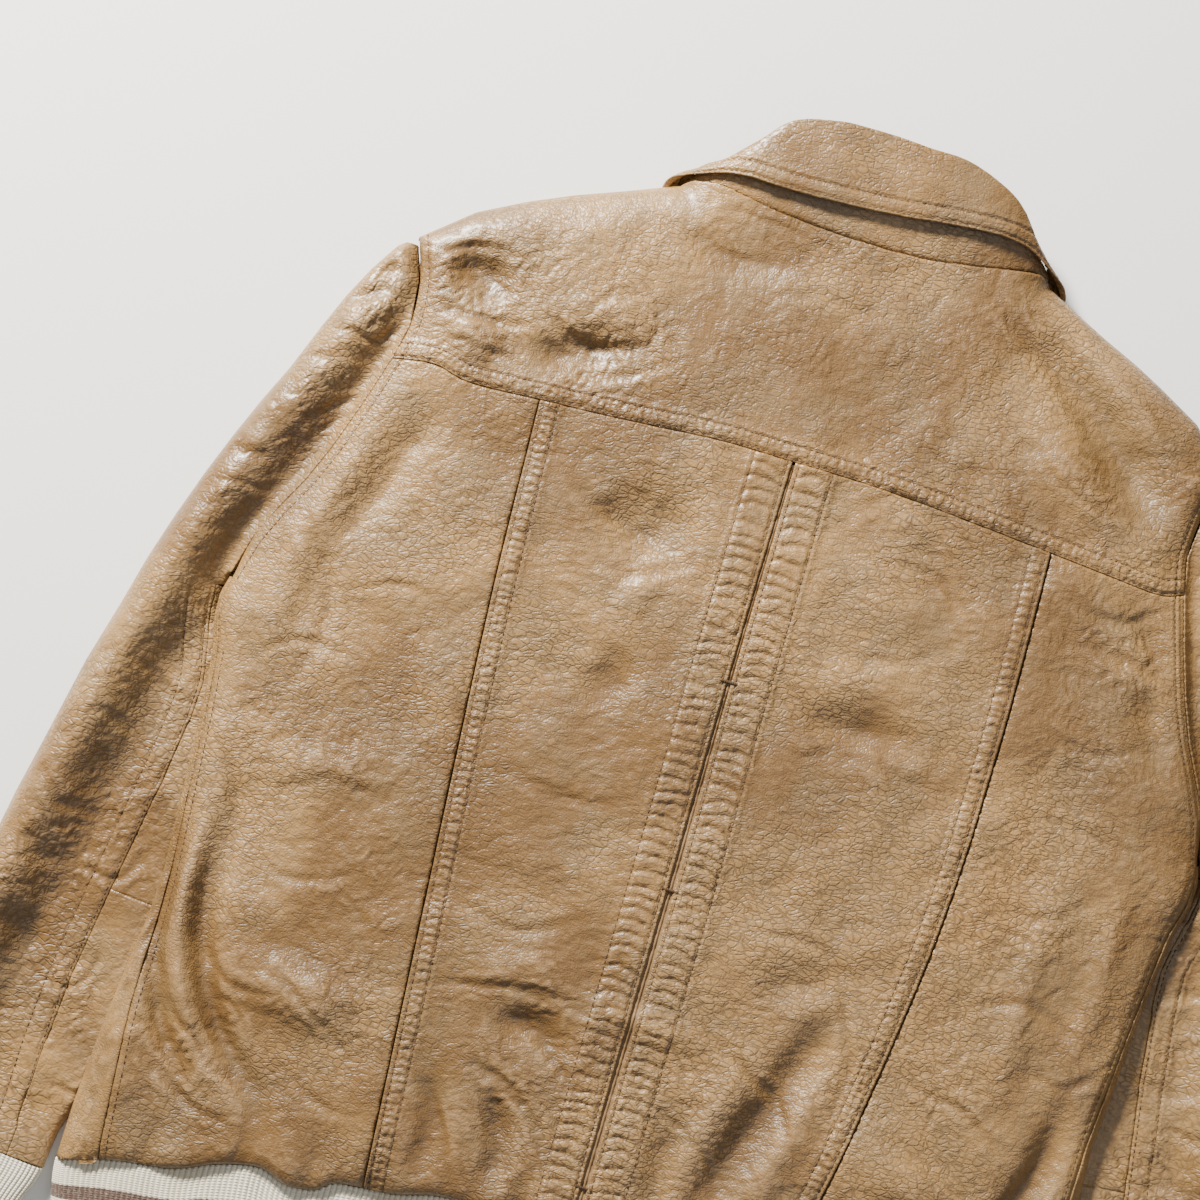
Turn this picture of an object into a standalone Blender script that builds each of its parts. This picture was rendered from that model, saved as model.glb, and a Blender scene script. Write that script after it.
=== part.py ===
"""Worn leather blouson jacket, laid face down on a flat surface.

Lengths are in millimetres until a mesh is made. X runs to the right as the back is seen from above,
Y towards the collar and Z up. Plan points are measured from the yoke seam on the centre back, and the
finished mesh is moved along Y so that the origin lies below the middle of the jacket's box.
"""
import math

import bpy
import numpy as np

# Driving dimensions
METRE = 0.001
CENTRE_TO_YOKE = 181.5
LEATHER = 1.2
RIB_WALL = 2.6
SEAM_GAP = 0.3
SIDE_GAP = 0.6
ARMHOLE_ROOM = 0.2
YOKE_HALF = 223.8
LIE = 26.0
ROUND_SIDE = 13.5
TUCK_ROOM = 8.0
TUCK_CLEARANCE = 0.7
LEAF_ROOM = 2.1
PLACKET_HALF = 15.0
STUD_ROOM = 1.1
PUFF = 13.0
RIB_LIE = 18.5
RIB_DEPTH = 65.0
CUFF_DEPTH = 62.0
CUFF_LIE = 15.0
BAND_RISE = 0.8
PLACKET_COLUMNS = (0.0, 8.7, 17.4, 30.0)
WRAP_SHARES = (0.25, 0.65, 1.0)
YOKE_BAND = 9.0
PRINCESS_BAND = 11.6
SLIT_HALF = 2.4
CENTRE_BAND = 21.0
STRIP_HALF = 7.0
STUD_RADIUS = 6.5
STUD_HEIGHT = 0.7
STUD_COUNT = 6
TOP_STUD = 48.0
LOWEST_STUD = -416.0
UNDERARM_LEVEL = -145.0
SHOULDER_ROUND = 28.0
ARMHOLE_ROUND = 19.0
SIDE_ROUND = 22.0
FRONT_ROUND = 12.0
CREST = 27.0
CREST_INSET = 16.0
SLOPE_WIDTH = 24.0
SLEEVE_FLAT = 10.5
SLEEVE_EDGE = 9.0
SLEEVE_TIP = 3.6
BELOW_SIDE = 11.4
BELOW_SIDE_RISE = 0.9
STRIP_DROP = 0.5
LAYER_STEP = 1.6
CUFF_SHIFT = -6.0
CUFF_DRAWN_IN = 0.12
HEM_HALF = 262.0
HEM_TURN = 14.0
RIB_END_LEVEL = -450.0
RIB_END_DROP = 10.0
RIB_NARROWED = 0.03
SLEEVE_TOP = 60.0
OUTER_LENGTH = 534.0
INNER_LENGTH = 546.0
SEAM_LENGTH = 540.0
PATCH_INSET = 0.0013
SIDE_INSET = 0.0015
STUD_SIDES = 24
CUFF_POINTS = 26

# Plan outlines of each side, as (x, y, back height, front height, roundness)
# Roundness 0.5 turns the edge under as a half round, and 1 lets it slope into a seam
SHOULDER = {
    -1: ((-101, 128, 10, 8.6, 0.5), (-128, 117, 10, 8.6, 0.5), (-156, 106, 10, 8.6, 0.5),
         (-178, 96, 10, 8.6, 0.5), (-204, 82, 10, 8.6, 0.5), (-230, 60, 10.4, 8.6, 0.5)),
    1: ((108, 132, 10, 8.6, 0.5), (126, 123, 10, 8.6, 0.5), (144, 114.5, 10, 8.6, 0.5),
        (166, 105, 10, 8.6, 0.5), (182, 97, 10, 8.6, 0.5), (206, 84, 10, 8.6, 0.5),
        (230, 60, 10.4, 8.6, 0.5)),
}
ARMHOLE_LEFT = ((-230, 60, 11.6, 8.2, 0.6), (-222, 36, 17, 6.5, 0.9), (-220, 12, 20, 6, 1),
                (-224, -8, 21, 6, 1), (-232, -35, 21, 6, 1), (-241, -62, 20.5, 6, 1),
                (-250, -84, 19.5, 6.5, 1), (-260, -103, 18.5, 7.5, 1), (-269, -123, 17.5, 9, 0.9),
                (-275, -145, 15, 10.5, 0.7))
SIDE_LEFT = ((-275, -145, ROUND_SIDE, ROUND_SIDE, 0.5), (-278, -157, ROUND_SIDE, ROUND_SIDE, 0.5),
             (-277.5, -170, ROUND_SIDE, ROUND_SIDE, 0.5), (-273, -188, ROUND_SIDE, ROUND_SIDE, 0.5),
             (-270, -215, ROUND_SIDE, ROUND_SIDE, 0.5), (-268, -245, ROUND_SIDE, ROUND_SIDE, 0.5),
             (-266, -280, ROUND_SIDE, ROUND_SIDE, 0.5), (-264, -310, ROUND_SIDE, ROUND_SIDE, 0.5),
             (-265, -335, ROUND_SIDE, ROUND_SIDE, 0.5), (-268, -360, ROUND_SIDE, ROUND_SIDE, 0.5),
             (-272, -402, ROUND_SIDE, ROUND_SIDE, 0.5), (-275, -445, 12, 12, 0.5),
             (-276, -478, 9.6, 8.6, 0.5))
SIDE_SEAM_LEFT = ((-273, -145.5), (-275, -157), (-274, -170), (-269.5, -188), (-266.5, -215), (-264, -245),
                  (-261.5, -280), (-259.5, -310), (-259, -335), (-259, -383), (-256, -420), (-253.5, -455),
                  (-252, -470))
HEM = ((-276, -478), (-244, -469), (-212, -464), (-190, -455), (-168, -450), (-151, -455),
       (-135, -453), (-124, -446), (-94, -443), (-70, -437), (-40, -436), (0, -433), (35, -437),
       (62, -434.5), (95, -441), (121, -446.5), (150, -449), (170, -455), (192, -457), (215, -462),
       (246, -469.5), (276, -478))
FRONT_HEM = ((-276, -478), (-215, -463), (-120, -442), (120, -442), (215, -463), (276, -478))
YOKE_SEAM = ((-224, -8), (-201, -5), (-180, -9), (-140, -7), (-92, -4), (-40, 0), (0, 0), (40, 0),
             (80, -2), (146, -7), (181, -10), (210, -12), (224, -8))
PRINCESS = {
    -1: ((-141, -7), (-136, -110), (-128, -217), (-119, -330), (-110, -450)),
    1: ((148, -7), (151, -100), (150, -202), (142, -290), (131, -366), (116, -450)),
}
SLIT = ((0.5, 0), (1, -120), (3, -250), (4.5, -440))

# Levels at which the pieces that meet along an armhole or a side seam share their points
ARM_LEVELS = (36, 12, -8, -35, -62, -84, -103, -123, -145)
SIDE_LEVELS = (-157, -170, -188, -215, -245, -280, -310, -335, -360, -383, -402, -420, -445, -462)

# Stations of the collar, from the left front round the back: its neck seam, its fold and its free edge
COLLAR = (
    ((-9, 63, 2.3), (-12, 88, 2.3), (-52, 18, 0)),
    ((-36, 70, 2.3), (-40, 95, 2.3), (-78, 52, 0)),
    ((-66, 84.5, 2.3), (-66, 105, 2.3), (-96, 86, 0)),
    ((-88, 103, 2.6), (-86, 118, 3.2), (-105, 106, 0.0)),
    ((-97.5, 118, 5), (-94, 128.5, 6), (-111, 122.5, 1.2)),
    ((-101, 128, 10), (-96.5, 135, 10.5), (-109, 129.5, 11)),
    ((-95, 131, 16.5), (-91, 140, 17), (-101.5, 133.2, 19.5)),
    ((-83, 132.5, 22.5), (-80.5, 146, 22.5), (-85, 138, 26.5)),
    ((-66, 130, 24.8), (-67.5, 158, 26), (-69, 140, 31)),
    ((-50, 127.3, 25.7), (-53, 173, 28.5), (-52, 139.5, 32.5)),
    ((-30, 125.6, 26.3), (-33, 179, 30), (-32, 139.5, 33)),
    ((-6, 124.3, 26.5), (-6, 181, 30.5), (-4, 141, 33.5)),
    ((18, 124.2, 26.4), (22, 180, 30.5), (20, 143, 33.5)),
    ((38, 125.2, 26), (45, 179, 30), (42, 146, 33)),
    ((58, 128, 25.5), (68, 171, 28.5), (62, 148, 32.5)),
    ((74, 131.3, 24.3), (80, 163, 26.5), (77, 148.3, 30.5)),
    ((90, 134.5, 21), (92, 150, 22.5), (92, 146, 26.5)),
    ((101, 135.5, 16), (100, 143, 16.5), (108, 138.5, 19.5)),
    ((108, 132, 10), (104, 139, 10.5), (116.5, 134, 11)),
    ((104.5, 121.5, 4.6), (101, 131.5, 5.2), (119, 126, 0.4)),
    ((94, 105, 2.5), (92, 121, 2.8), (112, 109, 0.0)),
    ((70, 86, 2.3), (70, 107, 2.3), (102, 88, 0)),
    ((38, 71, 2.3), (42, 97, 2.3), (82, 53, 0)),
    ((16, 65, 2.5), (18, 89, 2.5), (54, 20, 0)),
)
LEFT_SHOULDER_STATION = 5
RIGHT_SHOULDER_STATION = 18

# Largest folds of the back, as height, width and the line they follow
BACK_FOLDS = {
    "left shoulder hollow": (-6.5, 13, ((-212, 57), (-188, 50), (-168, 49))),
    "ridge below it": (4.0, 11, ((-198, 31), (-186, 16), (-168, 8))),
    "hollow above the yoke band": (-5.0, 9, ((-158, 17), (-132, 22), (-102, 33))),
    "ridge above that hollow": (2.5, 10, ((-150, 42), (-118, 47), (-90, 50))),
    "right shoulder hollow": (-7.0, 15, ((96, 108), (138, 84), (172, 50), (212, 14))),
    "right shoulder ridge": (2.5, 12, ((120, 112), (160, 88), (200, 50))),
    "ridge inside that hollow": (2.5, 14, ((120, 62), (150, 34), (188, 8))),
    "yoke creases by the collar": (-1.6, 8, ((-110, 104), (-60, 96), (-20, 104))),
    "yoke middle hollow": (-1.8, 22, ((20, 60), (70, 45))),
    "hollow of the left centre": (-5.5, 19, ((-92, -36), (-66, -56), (-44, -34))),
    "ridge below it on the left centre": (2.2, 16, ((-72, -86), (-48, -98))),
    "lower hollow of the left centre": (-3.2, 15, ((-76, -134), (-46, -150))),
    "left side long hollow": (-2.8, 9, ((-186, -16), (-204, -60), (-222, -120))),
    "left side long ridge": (2.2, 10, ((-222, -20), (-229, -64), (-240, -110), (-247, -220))),
    "left side bulge": (4.5, 34, ((-176, -330), (-182, -372))),
    "left upper side swell": (2.0, 30, ((-196, -215), (-190, -245))),
    "outer side fold": (-6.5, 6.5, ((-262, -322), (-255, -358), (-240, -391), (-222, -414))),
    "inner side fold": (-7.5, 8.5, ((-229, -352), (-207, -388), (-178, -414), (-167, -442))),
    "ridge between the side folds": (2.5, 9, ((-240, -352), (-222, -386), (-200, -412))),
    "flap of the left side": (2.5, 10, ((-262, -372), (-258, -420), (-250, -452))),
    "left hem hollow": (-4.5, 10, ((-74, -338), (-44, -334), (-24, -350))),
    "left hem ridge": (2.6, 10, ((-96, -318), (-62, -304), (-30, -300))),
    "left hem second hollow": (-3.5, 8, ((-98, -364), (-84, -402), (-88, -436))),
    "left hem third hollow": (-4.0, 8, ((-62, -366), (-46, -404), (-52, -432))),
    "ridge across the centre": (2.0, 8, ((-40, -312), (0, -314), (62, -318))),
    "right centre hollow": (-3.6, 10, ((36, -130), (80, -130), (122, -126))),
    "ridge above the right centre hollow": (1.8, 12, ((40, -106), (110, -102))),
    "right centre fold": (-5.0, 11, ((118, -262), (99, -304), (86, -344), (70, -392), (64, -430))),
    "slanting fold of the right centre": (-3.0, 10, ((58, -282), (88, -268), (112, -258))),
    "right centre ridge": (2.4, 11, ((64, -318), (60, -352), (48, -396))),
    "ridge beside the right princess seam": (2.4, 9, ((116, -306), (104, -350), (90, -410))),
    "right hem hollow": (-3.0, 8, ((44, -352), (40, -392), (46, -430))),
    "right side long ridge": (2.2, 9, ((204, -170), (202, -240), (206, -310))),
    "right side second ridge": (2.0, 8, ((238, -150), (240, -230), (236, -300))),
    "right side hollow": (-2.6, 9, ((216, -52), (230, -86), (246, -116))),
    "right armhole wrinkle": (-3.0, 7, ((200, -22), (216, -40), (232, -58))),
    "right side lower fold": (-5.5, 9, ((232, -356), (210, -392), (178, -418), (166, -446))),
    "right outer side fold": (-5.0, 7, ((262, -336), (250, -372), (228, -404))),
    "right side bulge": (4.0, 32, ((184, -340), (176, -376))),
}
HEM_GATHERS = (-228, -178, -140, -104, -28, 22, 78, 106, 138, 186, 232)

# Left sleeve, whose outer edge shows and whose inner edge is tucked under the body
SLEEVE_OUTER = ((-230, 60), (-240, 52), (-250, 36), (-259, 18), (-268, -4), (-277, -28), (-287, -50),
                (-296, -72), (-305, -96), (-314, -123), (-322, -150), (-329, -179), (-338, -213),
                (-347, -258), (-354, -292), (-362, -340), (-371, -400), (-381, -474))
SLEEVE_INNER = ((-275, -145), (-276.5, -158), (-272, -178), (-261, -202), (-252, -230), (-250, -275),
                (-256, -328), (-262, -378), (-266, -419), (-273, -448), (-279, -465), (-281, -486))
SLEEVE_BACK_SEAM = ((-281, -150), (-281, -165), (-278, -185), (-274, -205), (-275, -230), (-279, -262),
                    (-289, -328), (-296, -378), (-299, -419), (-300, -464), (-301, -484))
SLEEVE_FRONT_SEAM = ((-281, -150), (-280, -165), (-275, -185), (-269, -205), (-266, -250), (-270, -328),
                     (-276, -378), (-283, -440), (-292, -485))
PIECING_BREAK = (-289, -328)
SLEEVE_FOLDS = {
    "crease below the shoulder": (-4.0, 6, ((-252, 34), (-238, 37), (-226, 42))),
    "second crease": (-3.5, 6, ((-262, 14), (-244, 22), (-228, 34))),
    "upper arm crease": (-1.6, 4, ((-300, -80), (-280, -79), (-266, -76))),
    "lower arm crease": (-2.2, 7, ((-352, -306), (-334, -318), (-318, -330))),
    "lower arm hollow": (-2.5, 9, ((-346, -350), (-330, -362), (-318, -380))),
    "wrist crease": (-2.5, 7, ((-372, -440), (-345, -446), (-318, -440))),
}


class Path:
    """A smooth line through hand-placed points, read by the share of its length, width or knots."""

    def __init__(self, points, by="length", straight=False):
        knots = np.array(points, dtype=float)
        ends = np.vstack([2 * knots[0] - knots[1], knots, 2 * knots[-1] - knots[-2]])
        dense = []
        for before, start, end, after in zip(ends[:-3], ends[1:-2], ends[2:-1], ends[3:]):
            for u in np.linspace(0, 1, 10, endpoint=False):
                bend = 0 if straight else 1
                pull_in = (end - before) / 2 * bend + (end - start) * (1 - bend)
                pull_out = (after - start) / 2 * bend + (end - start) * (1 - bend)
                dense.append((2 * u**3 - 3 * u**2 + 1) * start + (u**3 - 2 * u**2 + u) * pull_in
                             + (3 * u**2 - 2 * u**3) * end + (u**3 - u**2) * pull_out)
        dense.append(knots[-1])
        self.dense = np.array(dense)
        steps = {"length": np.linalg.norm(np.diff(self.dense[:, :2], axis=0), axis=1),
                 "width": np.abs(np.diff(self.dense[:, 0])),
                 "knots": np.ones(len(self.dense) - 1)}[by]
        self.share = np.concatenate([[0], np.cumsum(steps)]) / steps.sum()

    def at(self, share):
        columns = [np.interp(share, self.share, column) for column in self.dense.T]
        return np.stack(columns, axis=-1)

    def height_at(self, x):
        """The line's y at each x, for a line that runs across."""
        order = np.argsort(self.dense[:, 0])
        return np.interp(x, self.dense[order, 0], self.dense[order, 1])


def smooth(share):
    share = np.clip(share, 0, 1)
    return share * share * (3 - 2 * share)


def half_round(share):
    """Rises from 0 to 1 as a quarter circle does."""
    share = np.clip(share, 0, 1)
    return np.sqrt(np.maximum(1 - (1 - share) ** 2, 0))


def nearest(lines, x, y):
    """Plan distance to the nearest of some lines, and what that line carries there."""
    best = np.full(np.shape(x), np.inf)
    carried = np.zeros(np.shape(x) + (lines[0].shape[1] - 2,))
    for line in lines:
        for start, end in zip(line[:-1], line[1:]):
            run = end[:2] - start[:2]
            span = max(run @ run, 1e-9)
            share = np.clip(((x - start[0]) * run[0] + (y - start[1]) * run[1]) / span, 0, 1)
            away = np.hypot(x - start[0] - share * run[0], y - start[1] - share * run[1])
            closer = away < best
            best = np.where(closer, away, best)
            values = start[2:] + share[..., None] * (end[2:] - start[2:])
            carried = np.where(closer[..., None], values, carried)
    return best, carried


def fold_relief(folds, x, y):
    total = np.zeros(np.shape(x))
    for height, width, line in folds.values():
        away, _ = nearest([np.array(line, dtype=float)], x, y)
        total += height * np.exp(-((away / width) ** 2))
    return total


def mirrored(points):
    return tuple((-point[0],) + tuple(point[1:]) for point in points)


ARMHOLE = {-1: ARMHOLE_LEFT, 1: mirrored(ARMHOLE_LEFT)}
SIDE = {-1: SIDE_LEFT, 1: mirrored(SIDE_LEFT)}
SIDE_SEAM = {-1: SIDE_SEAM_LEFT, 1: mirrored(SIDE_SEAM_LEFT)}
EDGES = [Path(line[side], straight=True).dense for side in (-1, 1) for line in (SHOULDER, ARMHOLE, SIDE)]
HEM_PATH = Path(HEM, by="width")
YOKE_PATH = Path(YOKE_SEAM, by="width")
FRONT_HEM_PATH = Path(FRONT_HEM, by="width", straight=True)


def hem_puff(x, y):
    """0 at the hem seam, where the leather turns down to the rib, and 1 above it."""
    return half_round((y - HEM_PATH.height_at(x)) / PUFF)


def back_height(x, y):
    """Height of the back's outer face above the floor."""
    crown = LIE - 2.0 + 2.5 * np.cos(np.clip(x / 290, -1, 1) * math.pi / 2)
    gathers = sum(np.exp(-(((x - place) / 7) ** 2)) for place in HEM_GATHERS)
    above_hem = y - HEM_PATH.height_at(x)
    crown = crown + fold_relief(BACK_FOLDS, x, y) - 3.2 * gathers * (1 - smooth(above_hem / 42))
    distance, carried = nearest(EDGES, x, y)
    rim, roundness = carried[..., 0], carried[..., 2]
    reach = np.where(y > 55, SHOULDER_ROUND, np.where(y > -120, ARMHOLE_ROUND, SIDE_ROUND))
    share = np.clip(distance / reach, 0, 1)
    lie = rim + (crown - rim) * (1 - (1 - share) ** 2) ** roundness
    hem_rim = np.minimum(RIB_LIE + 0.6, lie)
    return hem_rim + (lie - hem_rim) * hem_puff(x, y)


def front_height(x, y):
    """Height of the front's outer face, which lies on the floor except where something is under it."""
    tuck = TUCK_ROOM * smooth((abs(x) - 200) / 30) * smooth((-y - 95) / 35) * smooth((y + 474) / 34)
    leaf = LEAF_ROOM * smooth((y + 8) / 16) * smooth((136 - abs(x)) / 20)
    lie = np.maximum(tuck, leaf)
    distance, carried = nearest(EDGES, x, y)
    rim = carried[..., 1]
    share = np.clip(distance / FRONT_ROUND, 0, 1)
    return rim + (lie - rim) * (1 - (1 - share) ** 2) ** np.minimum(carried[..., 2], 1)


def placket_height(x, y, layer):
    """Height of a front's outer face: the upper layer also leaves room for the other front's edge."""
    share = smooth((PLACKET_HALF + 6 - abs(x)) / 5)
    return np.maximum(front_height(x, y), STUD_ROOM * share) + layer * LAYER_STEP * share


def patch(top, bottom, left, right, across, down):
    """Plan points of a panel between its four border lines, one row for each share of down."""
    u = np.array(across)[None, :, None]
    v = np.array(down)[:, None, None]
    upper, lower = top.at(across)[None, :, :2], bottom.at(across)[None, :, :2]
    near, far = left.at(down)[:, None, :2], right.at(down)[:, None, :2]
    ends = [line.at(np.array([0.0, 1.0]))[:, :2] for line in (top, bottom)]
    corners = ((1 - v) * ((1 - u) * ends[0][0] + u * ends[0][1])
               + v * ((1 - u) * ends[1][0] + u * ends[1][1]))
    return (1 - v) * upper + v * lower + (1 - u) * near + u * far - corners


def beside(plan, column, border, distance):
    """Places one column of a panel at a fixed distance from its first (0) or last (-1) column."""
    inward = plan[:, -1 - border] - plan[:, border]
    length = np.linalg.norm(inward, axis=-1, keepdims=True)
    plan[:, column] = plan[:, border] + inward / length * distance


def material(name, colour, roughness, metallic=0.0):
    made = bpy.data.materials.new(name)
    made.use_nodes = True
    shader = made.node_tree.nodes["Principled BSDF"]
    shader.inputs["Base Color"].default_value = (*colour, 1.0)
    shader.inputs["Roughness"].default_value = roughness
    shader.inputs["Metallic"].default_value = metallic
    return made


def clear_scene():
    for item in list(bpy.data.objects):
        bpy.data.objects.remove(item, do_unlink=True)


def shell(name, points, finish, up, wall=LEATHER, skip=None, closed=False):
    """Makes an open sheet from rows of outer points and gives it its wall on the inner side.

    up is a (row, column, direction): the face there looks that way. skip(row, column) leaves a face
    out, and a closed sheet joins its last column to its first.
    """
    rows, columns = points.shape[:2]
    flat = points.reshape(-1, 3) + (0, CENTRE_TO_YOKE, 0)
    faces = []
    for row in range(rows - 1):
        for column in range(columns if closed else columns - 1):
            after = (column + 1) % columns
            if skip and skip(row, column):
                continue
            corners = (row * columns + column, row * columns + after,
                       (row + 1) * columns + after, (row + 1) * columns + column)
            faces.append(corners)
    row, column, direction = up
    here, side, below = points[row, column], points[row, column + 1], points[row + 1, column]
    if np.dot(np.cross(side - here, below - here), direction) < 0:
        faces = [face[::-1] for face in faces]
    used = sorted({index for face in faces for index in face})
    renumber = {index: place for place, index in enumerate(used)}
    mesh = bpy.data.meshes.new(name)
    mesh.from_pydata([tuple(flat[index] * METRE) for index in used], [],
                     [tuple(renumber[index] for index in face) for face in faces])
    mesh.shade_smooth()
    mesh.materials.append(finish)
    made = bpy.data.objects.new(name, mesh)
    jacket.objects.link(made)
    solidify = made.modifiers.new("wall", "SOLIDIFY")
    solidify.thickness = wall * METRE
    solidify.offset = -1
    return made


def raised(plan, height):
    return np.concatenate([plan, height[..., None]], axis=-1)


def spread(*stops):
    """Shares from hand-placed stops, each (share, steps to the next)."""
    shares = [stops[0][0]]
    for (start, steps), (end, _) in zip(stops[:-1], stops[1:]):
        shares += [start + (end - start) * (k + 1) / steps for k in range(steps)]
    return np.array(shares)


def make_yoke(finish):
    """One piece from shoulder to shoulder, whose lower edge is lapped over the panels below."""
    neck = [station[0][:2] for station in COLLAR[LEFT_SHOULDER_STATION + 1:RIGHT_SHOULDER_STATION]]
    left_shoulder, right_shoulder = ([point[:2] for point in SHOULDER[side]] for side in (-1, 1))
    top = Path(left_shoulder[::-1] + neck + right_shoulder, by="width", straight=True)
    left, right = (Path([point[:2] for point in ARMHOLE[side][:4]], straight=True) for side in (-1, 1))
    width = right_shoulder[-1][0] - left_shoulder[-1][0]
    neck_start = (left_shoulder[0][0] - left_shoulder[-1][0]) / width
    neck_end = (right_shoulder[0][0] - left_shoulder[-1][0]) / width
    across = spread((0.0, 1), (0.013, 6), (neck_start, 2), (neck_start + 0.05, 9),
                    (neck_end - 0.05, 2), (neck_end, 6), (0.987, 1), (1.0, 0))
    down = np.array([0.0, 0.01, 0.035, 0.1, 0.22, 0.363, 0.52, 0.708, 0.82, 0.9, 0.95, 0.9985])
    plan = patch(top, YOKE_PATH, left, right, across, down)
    plan[-2] = plan[-1] + (0, YOKE_BAND)
    plan[-3] = plan[-1] + (0, YOKE_BAND + 1.8)
    plan[-4] = (plan[-5] + plan[-3]) / 2
    widest = np.interp(-plan[..., 1], [-y for _, y, *_ in ARMHOLE_LEFT[:4]],
                       [-x - ARMHOLE_ROOM for x, *_ in ARMHOLE_LEFT[:4]])
    plan[..., 0] = np.clip(plan[..., 0], -widest, widest)
    height = back_height(plan[..., 0], plan[..., 1])
    height[-2:] += BAND_RISE
    shell("back_yoke", raised(plan, height), finish, (6, 10, (0, 0, 1)))


def make_back_centre(side, finish):
    """One of the two middle panels, between the slit and a princess seam."""
    seam_x = (PRINCESS[side][0][0], PRINCESS[side][-1][0])
    edge = [(x + side * (SLIT_HALF - SEAM_GAP / 2), y) for x, y in SLIT]
    upper = Path([(x, YOKE_PATH.height_at(x)) for x in np.linspace(edge[0][0], seam_x[0], 12)])
    lower = Path([(x, HEM_PATH.height_at(x)) for x in np.linspace(edge[-1][0], seam_x[1], 24)])
    edge = [(edge[0][0], YOKE_PATH.height_at(edge[0][0]))] + edge[1:-1] \
        + [(edge[-1][0], HEM_PATH.height_at(edge[-1][0]))]
    border = [(PRINCESS[side][0][0], YOKE_PATH.height_at(seam_x[0]))] + list(PRINCESS[side][1:-1]) \
        + [(seam_x[1], HEM_PATH.height_at(seam_x[1]))]
    across = np.array([PATCH_INSET, 0.16, 0.175, 0.29, 0.41, 0.53, 0.65, 0.77, 0.89, 0.91,
                       1 - PATCH_INSET])
    down = np.concatenate([[0.0006], np.linspace(0.03, 0.945, 22), [0.972, 0.988, 0.9985]])
    plan = patch(upper, lower, Path(edge), Path(border), across, down)
    beside(plan, 1, 0, CENTRE_BAND)
    beside(plan, 2, 0, CENTRE_BAND + 2)
    beside(plan, -2, -1, PRINCESS_BAND)
    beside(plan, -3, -1, PRINCESS_BAND + 2)
    height = back_height(plan[..., 0], plan[..., 1])
    height[:, :2] += BAND_RISE
    height[:, -2:] += BAND_RISE
    name = "back_centre_left" if side < 0 else "back_centre_right"
    shell(name, raised(plan, height), finish, (6, 5, (0, 0, 1)))


def make_back_side(side, finish):
    """The outer back panel, from a princess seam to the armhole and the side seam."""
    start, end = PRINCESS[side][0][0], PRINCESS[side][-1][0]
    outer_end = SIDE_SEAM[side][-1][0]
    upper = Path([(x, YOKE_PATH.height_at(x)) for x in np.linspace(start, side * YOKE_HALF, 10)])
    lower = Path([(x, HEM_PATH.height_at(x)) for x in np.linspace(end, outer_end, 24)])
    inner = [(start, YOKE_PATH.height_at(start))] + list(PRINCESS[side][1:-1]) \
        + [(end, HEM_PATH.height_at(end))]
    arm = [point[:2] for point in ARMHOLE[side][3:-1]] + [(side * 273, -145)]
    seam = list(SIDE_SEAM[side][1:-1]) + [(outer_end, HEM_PATH.height_at(outer_end))]
    outer = Path(arm + seam, straight=True)
    across = np.array([SIDE_INSET, 0.018, 0.13, 0.26, 0.39, 0.51, 0.62, 0.72, 0.81, 0.89, 0.95, 0.985, 1.0])
    levels = np.array(ARM_LEVELS[3:] + SIDE_LEVELS, dtype=float)
    shares = np.interp(-levels, -outer.dense[:, 1], outer.share)
    down = np.concatenate([[0.0016, shares[0] / 2], shares, [0.9985]])
    plan = patch(upper, lower, Path(inner), outer, across, down)
    beside(plan, 1, 0, 2)
    height = back_height(plan[..., 0], plan[..., 1])
    name = "back_side_left" if side < 0 else "back_side_right"
    shell(name, raised(plan, height), finish, (6, 5, (0, 0, 1)))


def make_centre_strip(finish):
    """The narrow underlay that shows through the slit of the centre back."""
    slit = Path(SLIT)
    rows = np.linspace(0.004, 0.985, 20)
    middle = slit.at(rows)
    plan = np.stack([middle + (offset, 0) for offset in (-STRIP_HALF, 0, STRIP_HALF)], axis=1)
    height = back_height(plan[..., 0], plan[..., 1]) - LEATHER - STRIP_DROP
    shell("centre_strip", raised(plan, height), finish, (3, 0, (0, 0, 1)))


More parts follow.
